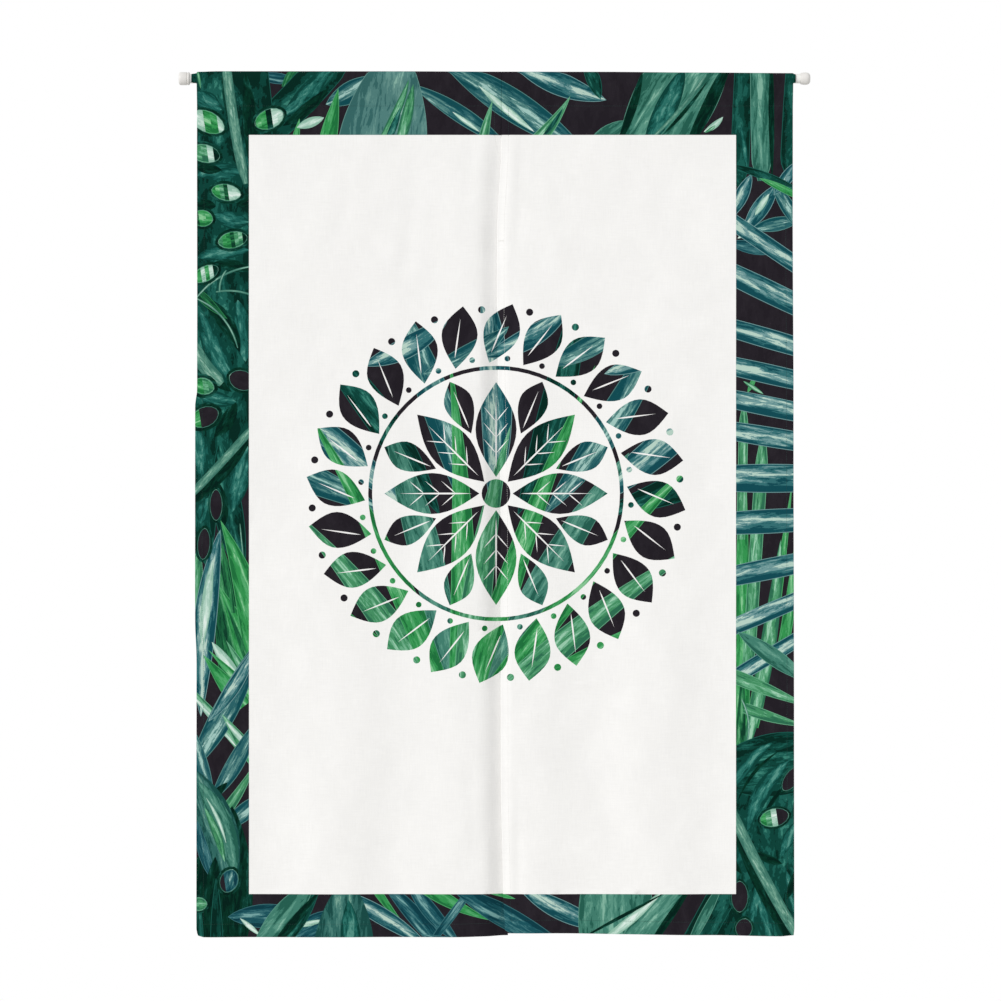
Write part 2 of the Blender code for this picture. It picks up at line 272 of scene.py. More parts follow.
def left_forward(x, drop):
    """The left panel's surface: its margin slopes back behind the right panel."""
    behind = SEWN_LAP_DEPTH * between(POCKET_SEAM_DROP + 4, LAP_START_DROP, drop)
    opening = between(SLIT_TOP_DROP, SLIT_OPEN_DROP, drop)
    behind = behind + (OPEN_LAP_DEPTH - SEWN_LAP_DEPTH) * opening
    slit = read_line(SLIT_LINE, drop)
    slope = between(slit - LEFT_MARGIN, slit, x)
    return soft_folds(x, drop) + creases(x, drop) - (behind + lip_depth(drop)) * slope


def right_forward(x, drop):
    """The right panel's surface: its inner edge rolls back in a narrow lip."""
    slit = read_line(SLIT_LINE, drop)
    lip = 1 - between(slit, slit + RIGHT_LIP, x)
    trough = TROUGH_DEPTH * between(TROUGH_START_DROP, TROUGH_FULL_DROP, drop)
    trough = trough * swell(x - TROUGH_X, TROUGH_HALF_WIDTH)
    return soft_folds(x, drop) + creases(x, drop) - lip_depth(drop) * lip - trough


def left_edges(drop):
    """The left panel's left and right edge at a drop."""
    outer = LEFT_EDGE_X + read_line(LEFT_EDGE_STRAY, drop)
    outer = outer - LEFT_POCKET_REACH * between(POCKET_REACH_END, POCKET_REACH_FULL, abs(drop))
    lap = LAP * between(LAP_START_DROP, LAP_FULL_DROP, drop)
    lap = lap - (LAP - HEM_LAP) * between(HEM_LAP_START_DROP, HEM_LAP_FULL_DROP, drop)
    return outer + EDGE_INSET, read_line(SLIT_LINE, drop) - SLIT_GAP / 2 + lap - SLIT_INSET


def right_edges(drop):
    """The right panel's left and right edge at a drop."""
    outer = RIGHT_EDGE_X + read_line(RIGHT_EDGE_STRAY, drop)
    outer = outer + RIGHT_POCKET_REACH * between(POCKET_REACH_END, POCKET_REACH_FULL, abs(drop))
    return read_line(SLIT_LINE, drop) + SLIT_GAP / 2 + SLIT_INSET, outer - EDGE_INSET


Panel = namedtuple("Panel", "name edges forward hem_line slit_side")
LEFT_PANEL = Panel("panel_left", left_edges, left_forward, LEFT_HEM_LINE, 1)
RIGHT_PANEL = Panel("panel_right", right_edges, right_forward, RIGHT_HEM_LINE, -1)


def turn_under(inside):
    """Cloth turned over an edge: how far inside the edge it lies, and how far it has
    turned, from 0 on the front to 1 on the back."""
    turn = np.clip((FOLD_RADIUS - inside) / FOLD_RADIUS, 0, math.pi)
    past = np.maximum(FOLD_RADIUS * (1 - math.pi) - inside, 0)
    lies = np.where(inside > FOLD_RADIUS, inside, FOLD_RADIUS * (1 - np.sin(turn)) + past)
    return lies, (1 - np.cos(turn)) / 2


def pocket_place(across, along):
    """The pocket's middle line around the rod: y, z and the unit vector into the pocket."""
    height = read_line(TOP_LINE, across) - TOP_INSET
    turn = np.clip(-along / POCKET_TOP_RUN, 0, 1) * math.pi
    down = np.where(along > 0, along, np.maximum(-along - POCKET_TOP_RUN, 0))
    side = np.where(along > 0, -1.0, np.where(along < -POCKET_TOP_RUN, 1.0, 0.0))
    narrowing = np.maximum(1 - down / POCKET_SEAM_DROP, 0)
    over = side == 0
    y = np.where(over, -POCKET_HALF_WIDTH * np.cos(turn), side * POCKET_HALF_WIDTH * narrowing)
    z = np.where(over, height * np.sin(turn), -down)
    inward_y = np.where(over, np.cos(turn) * height, -side * POCKET_SEAM_DROP)
    inward_z = np.where(over, -np.sin(turn) * POCKET_HALF_WIDTH, POCKET_HALF_WIDTH)
    size = np.hypot(inward_y, inward_z)
    return y, z, inward_y / size, inward_z / size


def hang(panel, across, along):
    """Takes flat cloth, in mm across and along it, to where it hangs, in mm."""
    across = np.asarray(across, dtype=float)
    along = np.asarray(along, dtype=float)
    seam_layers = 2 * FOLD_RADIUS
    pocket_y, pocket_z, inward_y, inward_z = pocket_place(across, along)
    in_pocket = along < POCKET_SEAM_DROP

    hem_drop = read_line(panel.hem_line, across) - EDGE_INSET
    lies_up, turned_up = turn_under(hem_drop - along)
    drop = np.where(in_pocket, -pocket_z, hem_drop - lies_up)

    left, right = panel.edges(drop)
    nearer_left = across - left < right - across
    inside = np.where(nearer_left, across - left, right - across)
    lies, turned = turn_under(inside)
    x = np.where(nearer_left, left + lies, right - lies)
    side_turn = seam_layers * turned
    in_hem = 1 - between(SIDE_HEM, SIDE_HEM + HEM_FADE, lies)

    behind = side_turn * (1 - 2 * turned_up) + seam_layers * turned_up * (1 + 2 * in_hem)
    hanging_y = -panel.forward(x, drop) + behind
    back_layer = along < -POCKET_TOP_RUN
    gap = seam_layers * (1 + 2 * in_hem) * between(POCKET_CLOSE_START, POCKET_SEAM_DROP, -pocket_z)
    wrapped_y = pocket_y + inward_y * side_turn + np.where(back_layer, gap, 0)
    wrapped_z = pocket_z + inward_z * side_turn
    y = np.where(in_pocket, wrapped_y, hanging_y)
    z = np.where(in_pocket, wrapped_z, -drop)
    return np.stack((x, y, z), axis=-1)


# The leaf print. Each kind: four tones from deep to pale, the length and width of its
# brush strokes, where its light ridge lies across it (-1 to 1), how strongly, its rim,
# and its form
Kind = namedtuple("Kind", "tones stroke_length stroke_width ridge lift rim form")
SPLIT_TONES = ("#052921", "#0C4138", "#1B5A50", "#397E6F")
SHADE_TONES = ("#03211A", "#052F22", "#0A3B30", "#1B564A")
PATCH_TONES = ("#0B4038", "#195951", "#2D7167", "#528F82")
JADE_TONES = ("#245C4E", "#407B6B", "#58917F", "#7FB19D")
GREY_TONES = ("#356462", "#4F7D79", "#628E87", "#84AFA1")
SAGE_TONES = ("#194A45", "#30665F", "#497D74", "#76A393")
TEAL_TONES = ("#104A51", "#2A6065", "#558581", "#9DC3BB")
SEA_TONES = ("#0C3B45", "#1A5059", "#3B6F74", "#74A3A1")
MIST_TONES = ("#114952", "#336C70", "#6E9797", "#B4CFC2")
BRIGHT_TONES = ("#1E6E3B", "#33904E", "#50A469", "#86C593")
FOREST_TONES = ("#0C3B29", "#1A5A39", "#2C7A4A", "#5BA072")
SPIKE_TONES = ("#2C6B4F", "#438C60", "#66A882", "#98C9AC")
MINT_TONES = ("#8DB8A4", "#A9CBBB", "#C3DDD0", "#DCEAE3")
RIB_TONES = ("#3A7062", "#4F8474", "#659884", "#8FB7A6")
GROUND_TONES = ("#221E24", "#252127", "#28242A", "#2A262C")
FIELD_TONES = ("#F2F1EF", "#F3F2F0", "#F4F3F1", "#F5F4F2")
KINDS = {
    "ground": Kind(GROUND_TONES, 40, 20, 0, 0, 0, "lance"),
    "field": Kind(FIELD_TONES, 60, 40, 0, 0, 0, "lance"),
    "split": Kind(SPLIT_TONES, 46, 20, 0.1, 0.2, 1, "arm"),
    "split_leaf": Kind(SPLIT_TONES, 46, 9, 0.1, 0.25, 1, "lance"),
    "shade": Kind(SHADE_TONES, 26, 7, 0, -0.1, 0, "lance"),
    "patch": Kind(PATCH_TONES, 26, 7, 0, 0.35, 0, "lance"),
    "rib": Kind(RIB_TONES, 18, 3, 0, 0.3, 0, "arm"),
    "stem": Kind(RIB_TONES, 30, 3, 0, 0.5, 0, "arm"),
    "jade": Kind(JADE_TONES, 60, 10, -0.1, 0.22, 1, "lance"),
    "jade_arm": Kind(JADE_TONES, 50, 8, 0, 0.25, 1, "arm"),
    "grey": Kind(GREY_TONES, 60, 11, 0.1, 0.2, 1, "lance"),
    "sage": Kind(SAGE_TONES, 50, 7, -0.1, 0.2, 0, "lance"),
    "haze": Kind(JADE_TONES, 40, 7, 0, 0.2, 0, "lance"),
    "teal": Kind(TEAL_TONES, 50, 6, 0.1, 0.42, 1, "lance"),
    "sea": Kind(SEA_TONES, 50, 5, 0.1, 0.3, 1, "lance"),
    "mist": Kind(MIST_TONES, 50, 7, -0.1, 0.5, 1, "lance"),
    "bright": Kind(BRIGHT_TONES, 60, 7, -0.15, 0.3, 1, "sword"),
    "forest": Kind(FOREST_TONES, 50, 6, -0.1, 0.25, 1, "sword"),
    "sprig": Kind(BRIGHT_TONES, 40, 5, -0.1, 0.25, 1, "lance"),
    "sheen": Kind(SPIKE_TONES, 40, 5, 0, 0.4, 0, "lance"),
    "blade": Kind(SPIKE_TONES, 40, 5, 0, 0.3, 1, "arm"),
    "spike": Kind(SPIKE_TONES, 50, 6, -0.15, 0.3, 1, "sword"),
    "mint": Kind(MINT_TONES, 30, 5, 0, 0.4, 0, "lance"),
    "hole_shade": Kind(SHADE_TONES, 30, 8, 0, -0.2, 0, "oval"),
    "hole_rim": Kind(RIB_TONES, 20, 6, 0, 0.2, 0, "oval"),
    "hole": Kind(GROUND_TONES, 40, 20, 0, 0, 0, "oval"),
}

# Leaves of the border, those behind first, grouped by kind. Each leaf: x and drop of the base,
# x and drop of the tip, half width, bow of the middle line
TOP_LEAVES = (
    ("teal", (-76, -24, 126, 104, 22, -2)),
    ("mint", (-24, 10, 54, 74, 5, 1)),
    ("teal", (-116, 9, 20, 98, 12, -3)),
    ("mint", (-60, 46, -22, 74, 3, 0)),
    ("mist", (20, -24, 154, 30, 16, 4)),
    ("split_leaf", (124, -28, 146, 29, 10, 0)),
    ("jade", (124, 100, 182, 58, 12, 0), (170, 150, 318, -110, 56, 8)),
    ("shade", (258, 110, 330, -40, 9, 3)),
    ("patch", (206, 96, 262, -16, 15, 3)),
    ("shade", (168, 96, 204, -10, 6, 3)),
    ("rib", (216, 84, 292, -4, 2.4, 3)),
    ("shade", (226, 84, 294, 4, 2.6, 3)),
    ("mint", (289, 74, 316, 53, 4.4, 2)),
    ("sheen", (290, 75, 306, 64, 2.2, 1)),
    ("split", (346, -60, 338, 150, 13, 0)),
    ("patch", (340, 60, 350, 128, 4, 0)),
    ("jade_arm", (366, -50, 370, 142, 14, 0)),
    ("shade", (382, -40, 384, 140, 4, 0)),
    ("split", (417, -30, 408, 136, 14, 0)),
    ("sea", (-334, -4, -276, 4, 8, 0)),
    ("forest", (-290, 14, -272, -30, 8, 0)),
    ("split", (-322, 74, -216, -36, 26, 3)),
    ("patch", (-298, 54, -226, -20, 12, 3)),
    ("shade", (-296, 66, -232, 14, 8, 3)),
    ("teal", (-236, 36, -166, -2, 15, 2)),
    ("grey", (-176, 254, -133, -50, 62, -4)),
    ("sheen", (-170, 104, -120, 2, 6, 4), (-140, 112, -114, 8, 8, 2)),
    ("patch", (-158, 100, -132, 40, 5, 2)),
    ("bright", (-236, 100, -218, 14, 12, 0), (-281, 100, -272, 55, 6, 0)),
    ("mint", (-276, 68, -238, 54, 7, 0)),
    ("spike", (-20, 100, -4, 30, 7, -1), (44, 100, 104, 24, 10, 4)),
    ("split_leaf", (62, 84, 94, 40, 3, 2)),
)
LEFT_LEAVES = (
    ("split", (-373, -68, -377, 568, 64, 0)),
    ("split_leaf", (-382, 502, -350, 696, 20, 5), (-408, 516, -402, 677, 17, 0)),
    ("patch", (-416, 18, -380, 43, 14, 3), (-416, 135, -347, 130, 12, -4),
     (-391, 188, -341, 199, 12, 3), (-416, 249, -341, 238, 11, -3), (-358, 307, -347, 393, 15, 0),
     (-410, 324, -360, 430, 15, 4), (-416, 435, -360, 449, 11, 3), (-408, 555, -416, 485, 17, 0),
     (-366, 602, -344, 510, 14, 0), (-410, 618, -399, 582, 11, 0)),
    ("sheen", (-414, -14, -409, 14, 2.2, 0)),
    ("shade", (-347, -9, -330, 155, 11, 0), (-378, -9, -363, 74, 7, 0),
     (-416, 124, -380, 127, 7, 0), (-416, 174, -388, 177, 8, 0), (-360, 174, -338, 163, 10, 0),
     (-391, 255, -338, 266, 8, -1), (-410, 302, -355, 380, 11, -8), (-416, 399, -366, 435, 7, 1),
     (-391, 499, -360, 449, 10, 3), (-424, 593, -333, 480, 12, 3), (-388, 557, -377, 624, 11, 0)),
    ("rib", (-374, -26, -347, 146, 7, 3), (-422, 368, -380, 424, 10, 4),
     (-427, 582, -333, 480, 5.6, 1)),
    ("forest", (-410, 300, -372, 334, 7, 1)),
    ("stem", (-416, 305, -333, 260, 1.4, -10), (-416, 305, -358, 374, 1.4, -11),
     (-388, 296, -335, 302, 1.4, -4), (-383, 296, -374, 266, 1.4, -3),
     (-349, 682, -355, 618, 1, 0)),
)
LEFT_LOWER_LEAVES = (
    ("spike", (-424, 755, -410, 641, 14, 0)),
    ("forest", (-352, 860, -386, 630, 26, 0)),
    ("bright", (-320, 858, -384, 704, 20, 3), (-320, 826, -382, 613, 24, 8)),
    ("forest", (-364, 742, -380, 640, 3, 1), (-346, 806, -378, 722, 4, 1)),
    ("mist", (-409, 886, -382, 626, 16, -8)),
    ("mint", (-408, 792, -393, 668, 7, -1), (-347, 849, -394, 782, 8, 0)),
    ("bright", (-330, 863, -399, 793, 7, 0), (-350, 872, -406, 800, 13, 0)),
    ("spike", (-340, 838, -374, 780, 6, 0), (-341, 941, -430, 838, 8, 0)),
    ("mint", (-358, 930, -424, 852, 3.5, 0)),
    ("teal", (-430, 968, -330, 780, 17, 6)),
    ("mist", (-399, 893, -333, 788, 10, 4)),
    ("spike", (-333, 949, -380, 882, 10, 0)),
    ("mint", (-338, 935, -374, 893, 4, 0)),
    ("teal", (-391, 1002, -424, 896, 11, -3), (-397, 1005, -333, 893, 12, 4)),
    ("shade", (-405, 1010, -372, 977, 6, 0)),
    ("spike", (-383, 1027, -333, 949, 8, 3)),
    ("teal", (-380, 1041, -324, 993, 12, 3)),
    ("shade", (-416, 1224, -408, 1074, 22, 0), (-362, 1240, -366, 1010, 30, -3)),
    ("sage", (-368, 1128, -422, 958, 28, 8)),
    ("haze", (-362, 1106, -412, 976, 16, 8)),
    ("sheen", (-376, 1088, -404, 1012, 6, 3)),
    ("sea", (-388, 1118, -414, 1030, 8, -4)),
    ("mint", (-374, 1062, -402, 998, 2.4, 3)),
    ("shade", (-400, 1250, -389, 1080, 16, 0)),
    ("split_leaf", (-386, 1300, -388, 1110, 9, 0), (-410, 1290, -411, 1140, 6, 0)),
)
BOTTOM_LEAVES = (
    ("sea", (-372, 1164, -262, 1162, 17, 0)),
    ("mint", (-355, 1166, -327, 1190, 3.5, 0)),
    ("sea", (-286, 1194, -216, 1156, 15, 0)),
    ("mint", (-278, 1178, -238, 1168, 3.6, 0)),
    ("sea", (-160, 1112, -60, 1226, 12, -3), (-126, 1106, -50, 1200, 11, 4)),
    ("bright", (-112, 1110, -6, 1169, 11, 5)),
    ("sea", (-18, 1105, -104, 1219, 6, 0)),
    ("bright", (-174, 1112, -124, 1178, 6, 3)),
    ("mist", (30, 1120, 160, 1182, 14, 5)),
    ("sprig", (-16, 1128, 28, 1139, 3, 0)),
    ("sea", (-66, 1118, 110, 1216, 16, 2), (-104, 1188, 6, 1206, 6, 3)),
    ("mist", (-232, 1122, -92, 1206, 12, -3)),
    ("jade", (166, 1310, 168, 1020, 52, 0), (164, 1226, 272, 1104, 20, 0)),
    ("shade", (196, 1232, 280, 1108, 5, 0)),
    ("mint", (134, 1208, 232, 1128, 6, 3)),
    ("shade", (116, 1196, 236, 1130, 2.4, 0)),
    ("split", (256, 1240, 334, 1100, 20, 0)),
    ("jade", (262, 1216, 318, 1110, 7, 0)),
    ("sage", (-216, 1320, -206, 1108, 42, 0)),
    ("patch", (-198, 1250, -204, 1140, 14, 0)),
    ("split_leaf", (-312, 1222, -244, 1120, 13, 0)),
    ("jade", (-338, 1212, -250, 1112, 17, 0)),
    ("shade", (-318, 1216, -244, 1128, 6, 0)),
)
RIGHT_LEAVES = (
    ("bright", (342, 900, 344, 440, 11, 0)),
    ("forest", (338, 1000, 344, 800, 9, 0)),
    ("blade", (341, 640, 345, 454, 6.5, 0), (350, 830, 372, 494, 9, 0)),
    ("bright", (356, 900, 412, 560, 10, 4), (396, 806, 424, 580, 8, 4)),
    ("sheen", (340, 960, 396, 640, 11, 8)),
    ("sprig", (350, 436, 362, 412, 3.4, 0)),
    ("sheen", (344, 420, 372, 438, 3, 0)),
    ("mist", (326, 194, 356, 132, 10, 0), (344, 214, 392, 146, 12, 0)),
    ("mint", (360, 190, 380, 160, 4.4, 0)),
    ("teal", (356, 208, 424, 196, 10, 0), (384, 146, 424, 212, 10, -2)),
    ("mist", (424, 112, 386, 162, 9, 0)),
    ("split_leaf", (320, 118, 430, 160, 6, -3)),
    ("sprig", (366, 138, 436, 172, 5, -1)),
    ("sea", (320, 226, 396, 240, 9, 2)),
    ("mint", (336, 222, 352, 212, 2.6, 0)),
)
# Leaflets of the palm frond down the right side: drop at the field's edge, drop at the
# cloth's edge, half width
FROND_LEFT_X, FROND_RIGHT_X = 190, 570
FROND = (
    (202, 256, 12),
    (274, 312, 16),
    (348, 371, 14),
    (400, 418, 14),
    (446, 462, 14),
    (490, 503, 14),
    (555, 555, 20),
    (617, 613, 17),
    (690, 674, 15),
    (760, 726, 12),
    (830, 782, 11),
)
RIGHT_LOWER_LEAVES = (
    ("jade", (336, 768, 436, 838, 12, 0)),
    ("spike", (322, 826, 440, 874, 10, 0), (346, 874, 436, 900, 8, 2)),
    ("stem", (350, 918, 342, 862, 1.4, 5)),
    ("split", (378, 1330, 386, 952, 74, -10)),
    ("split_leaf", (284, 968, 500, 936, 44, 0)),
    ("patch", (326, 990, 384, 922, 9, -6)),
    ("shade", (336, 1004, 396, 932, 2.4, -8)),
    ("patch", (350, 1044, 408, 946, 12, -10)),
    ("shade", (366, 1044, 420, 966, 3, -8)),
    ("patch", (396, 1080, 418, 1030, 8, 0)),
    ("shade", (362, 1074, 398, 1090, 6, 2)),
    ("patch", (328, 1100, 352, 1060, 8, 0), (352, 1180, 364, 1110, 8, 4)),
    ("shade", (330, 1080, 344, 1150, 8, 0)),
    ("patch", (384, 1210, 366, 1140, 10, 0), (420, 1170, 404, 1100, 8, 0)),
    ("shade", (404, 1140, 424, 1090, 6, 0), (322, 1014, 426, 1222, 11, 4)),
    ("rib", (322, 1004, 429, 1206, 7.4, 4)),
)
# Oval holes of the split leaves: x, drop, half length, half width, turn in degrees, width of
# the dark ring around, and what shows through, as slanted stripes across from the left
HOLE_RIM = 0.8
STRIPE_SLANT = -0.15
HOLES = (
    (-400, 60, 26, 15, 26, 4, "mint mint bright bright mint"),
    (-404, 104, 22, 13, 14, 4, "spike spike spike mint hole_shade"),
    (-374, 158, 21, 12, 10, 4, "bright bright spike forest mint mint mint"),
    (-407, 194, 15, 12, 8, 4, "forest bright bright"),
    (-365, 224, 21, 12, -12, 4, "spike bright bright forest spike spike hole_shade"),
    (-403, 271, 20, 11, -26, 4, "bright bright mint bright mint hole_shade"),
    (-314, 56, 22, 14, -24, 4, "bright bright hole_shade mint mint"),
    (-406, 427, 16, 12, 14, 5, "bright bright spike spike"),
    (-352, 419, 19, 14, 20, 4, "hole"),
    (-404, 470, 21, 14, -24, 5, "bright hole hole"),
    (-388, 592, 9, 22, 0, 3, "hole"),
    (-405, 646, 9, 22, 4, 4, "hole"),
    (-370, 1114, 13, 17, 20, 4, "hole sea teal sea"),
    (-412, 1146, 12, 10, 0, 3, "spike spike"),
    (387, 1026, 21, 13, -14, 3, "bright spike mint hole hole"),
    (411, 972, 10, 20, 35, 3, "hole"),
    (339, 1136, 12, 22, 0, 3, "hole"),
    (345, 1180, 12, 14, 10, 3, "hole"),
)
# Leaves that fill the roundel: a fan of long blades from below, and teal ones above it
FAN_X, FAN_DROP = -46, 905
FAN = (
    (-64, 420, 20, "jade"), (-50, 470, 17, "bright"), (-38, 400, 22, "spike"),
    (-26, 500, 18, "bright"), (-14, 440, 23, "jade"), (-2, 520, 18, "bright"),
    (9, 430, 22, "spike"), (20, 540, 18, "bright"), (31, 450, 21, "jade"),
    (41, 520, 17, "bright"), (52, 430, 20, "spike"), (63, 460, 16, "bright"),
    (75, 380, 16, "jade"),
)


Leaf = namedtuple("Leaf", "kind middle half_widths")


def leaf_widths(form, half_width, t):
    """Half widths along a leaf, at shares of its length from its base to its tip."""
    if form == "arm":
        blunt_end = 1 - 0.45 * ease(t * 8 - 7)
        return half_width * np.minimum(1, 0.8 + 0.4 * np.sin(math.pi * t)) * blunt_end
    if form == "sword":
        return half_width * np.sin(math.pi * np.minimum(1, 0.18 + 0.82 * t) ** 0.62) ** 0.9
    if form == "oval":
        return half_width * np.maximum(1 - (2 * t - 1) ** 2, 0) ** 0.56
    return half_width * np.sin(math.pi * t) ** 0.75


def make_leaf(kind, base_x, base_drop, tip_x, tip_drop, half_width, bow):
    """A leaf along a bowed middle line."""
    base, tip = np.array((base_x, base_drop), float), np.array((tip_x, tip_drop), float)
    run = tip - base
    length = np.linalg.norm(run)
    side = np.array((-run[1], run[0])) / length
    t = np.linspace(0, 1, int(np.clip(length / 8, 8, 30)) + 1)
    if KINDS[kind].form == "oval":
        t = (1 - np.cos(math.pi * t)) / 2
    middle = base + run * t[:, None] + side * (4 * bow * t * (1 - t))[:, None]
    return Leaf(kind, middle, leaf_widths(KINDS[kind].form, half_width, t))


def leaf_sides(leaf):
    """The two outlines of a leaf, one each side of its middle line."""
    run = np.gradient(leaf.middle, axis=0)
    side = np.stack((-run[:, 1], run[:, 0]), axis=1)
    side /= np.linalg.norm(side, axis=1)[:, None]
    reach = side * leaf.half_widths[:, None]
    return [np.concatenate((leaf.middle, (leaf.middle + reach * way)[::-1])) for way in (1, -1)]


def cut_outline(outline, place, keep_way):
    """The part of an outline on one side of a line through a place."""
    kept = []
    heights = (outline - place) @ np.asarray(keep_way, dtype=float) if len(outline) else ()
    turned = np.roll(outline, -1, axis=0)
    for here, after, a, b in zip(outline, turned, heights, np.roll(heights, -1)):
        if a >= 0:
            kept.append(here)
        if (a > 0 > b) or (a < 0 < b):
            kept.append(here + (after - here) * (a / (a - b)))
    return np.array(kept) if len(kept) > 2 else np.zeros((0, 2))


def clip_outline(outline, box):
    """The part of an outline inside a box of x low, x high, drop low, drop high."""
    for place, way in (((box[0], 0), (1, 0)), ((box[1], 0), (-1, 0)),
                       ((0, box[2]), (0, 1)), ((0, box[3]), (0, -1))):
        outline = cut_outline(outline, place, way)
    return outline


def without_doubles(outline):
    """An outline with no two neighbouring points at one place."""
    far = np.linalg.norm(outline - np.roll(outline, 1, axis=0), axis=1) > 0.05
    return outline[far]


def whole(leaf):
    """A leaf with its outlines, uncut."""
    return leaf, leaf_sides(leaf)


def hole_shapes():
    """The oval holes of the split leaves: a dark ring, a pale rim, a dark gap and what
    shows through, as slanted stripes."""
    made = []
    for x, drop, half_length, half_width, turn, ring, shows in HOLES:
        angle = math.radians(turn + (90 if half_width > half_length else 0))
        long, narrow = max(half_length, half_width), min(half_length, half_width)
        middle, ahead = np.array((x, drop)), np.array((math.cos(angle), math.sin(angle)))
        for kind, spare in (("hole_shade", ring), ("hole_rim", 0), ("hole", -HOLE_RIM)):
            reach = ahead * (long + spare)
            leaf = make_leaf(kind, *(middle - reach), *(middle + reach), narrow + spare, 0)
            made.append(whole(leaf))
        across = np.concatenate(leaf_sides(leaf))[:, 0]
        stripes = shows.split()
        width = (across.max() - across.min()) / len(stripes)
        for number, kind in enumerate(stripes):
            start = across.min() + width * number
            outlines = leaf_sides(leaf)
            for edge, way in ((start, 1), (start + width, -1)):
                outlines = [cut_outline(side, (edge, drop), (way, way * STRIPE_SLANT))
                            for side in outlines]
            made.append((Leaf(kind, leaf.middle, leaf.half_widths), outlines))
    return made


def border_shapes():
    """All shapes of the border, those behind first: each a leaf and its outlines."""
    frond = ["mist"]
    for left_drop, right_drop, half_width in FROND:
        slope = (right_drop - left_drop) / (RIGHT_EDGE_X - FIELD_RIGHT)
        base = left_drop + slope * (FROND_LEFT_X - FIELD_RIGHT)
        tip = left_drop + slope * (FROND_RIGHT_X - FIELD_RIGHT)
        frond.append((FROND_LEFT_X, base, FROND_RIGHT_X, tip, half_width, 0))
    groups = (*TOP_LEAVES, *LEFT_LEAVES, *LEFT_LOWER_LEAVES, *RIGHT_LEAVES, frond,
              *RIGHT_LOWER_LEAVES, *BOTTOM_LEAVES)
    leaves = [make_leaf(kind, *leaf) for kind, *rows in groups for leaf in rows]
    return [whole(leaf) for leaf in leaves] + hole_shapes()


def roundel_shapes():
    """The leaves printed inside the roundel's motifs, those behind first."""
    made = []
    for number in range(9):
        turn = math.radians(-70 + 17 * number)
        base = (ROUNDEL_X - 150 + 36 * number, ROUNDEL_DROP + 30)
        tip = (base[0] + 330 * math.sin(turn), base[1] - 330 * math.cos(turn))
        kind = ("teal", "mist", "split_leaf")[number % 3]
        made.append(make_leaf(kind, *base, *tip, 22, 12))
    for number in range(7):
        base = (ROUNDEL_X - 270 + 84 * number, ROUNDEL_DROP - 190 + 12 * (number % 3))
        kind = ("teal", "mist")[number % 2]
        made.append(make_leaf(kind, *base, base[0] + 120, base[1] - 66, 15, 8))
    for turn, length, half_width, kind in FAN:
        angle = math.radians(turn)
        tip = (FAN_X + length * math.sin(angle), FAN_DROP - length * math.cos(angle))
        base = (FAN_X + 60 * math.sin(angle), FAN_DROP - 60 * math.cos(angle))
        made.append(make_leaf(kind, *base, *tip, half_width, 10 if turn < 0 else -10))
    return [whole(leaf) for leaf in made]


def polar(radius, turn):
    """A point at a radius and a turn, in degrees clockwise from the top, in the roundel."""
    angle = math.radians(turn)
    return np.array((ROUNDEL_X + radius * math.sin(angle), ROUNDEL_DROP - radius * math.cos(angle)))


def motif_outline(base, tip, half_width, fullest, steps=12):
    """A pointed leaf outline from base to tip, fullest at a share of its length."""
    t = np.linspace(0, 1, steps + 1)
    shape = np.where(t < fullest, np.sin(math.pi / 2 * t / fullest),
                     np.cos(math.pi / 2 * (t - fullest) / (1 - fullest)))
    run = tip - base
    side = np.array((-run[1], run[0])) / np.linalg.norm(run)
    reach = side * (half_width * shape)[:, None]
    middle = base + run * t[:, None]
    return np.concatenate((middle + reach, (middle - reach)[::-1]))


def disc_outline(middle, radius, steps=16):
    """A round outline."""
    turns = np.linspace(0, 2 * math.pi, steps, endpoint=False)
    return middle + radius * np.stack((np.cos(turns), np.sin(turns)), axis=1)


def ring_outlines(inner, outer, pieces=72):
    """A ring as a run of short pieces."""
    step = 360 / pieces
    return [
        np.array((polar(inner, step * i), polar(outer, step * i),
                  polar(outer, step * (i + 1)), polar(inner, step * (i + 1))))
        for i in range(pieces)
    ]


def roundel_motifs():
    """The roundel's outlines: those that are printed, and the plain veins in them."""
    printed, plain = [disc_outline(polar(0, 0), 20, 24)], []
    for number in range(8):
        turn = 45 * number
        printed.append(motif_outline(polar(23, turn), polar(155, turn), 28.5, 0.5))
        plain.append(motif_outline(polar(34, turn), polar(134, turn), 1.2, 0.3, 6))
        for radius, way in itertools.product((56, 78, 100), (-1, 1)):
            lean = math.degrees(math.atan2(17, radius + 18)) * way
            tip = polar(radius + 22, turn + lean)
            plain.append(motif_outline(polar(radius, turn), tip, 0.8, 0.3, 4))
        between = turn + 22.5
        printed.append(motif_outline(polar(90, between), polar(168, between), 20, 0.6))
        plain.append(motif_outline(polar(98, between), polar(154, between), 1.1, 0.3, 6))
    printed += ring_outlines(172, 177.5)
    for number in range(24):
        turn = 15 * number
        printed.append(motif_outline(polar(182, turn - 3), polar(264, turn + 5), 25, 0.55))
        plain.append(motif_outline(polar(196, turn - 2), polar(248, turn + 3.5), 1.1, 0.3, 6))
        for radius, size in ((188, 4), (256, 5)):
            printed.append(disc_outline(polar(radius, turn + 7.5 + (radius - 220) / 12), size))
    return printed, plain


# Outlines smaller than this, in square millimetres, are left out; points nearer to each
# other than this, in millimetres, become one
LEAST_AREA = 1.0
MERGE_WITHIN = 0.002


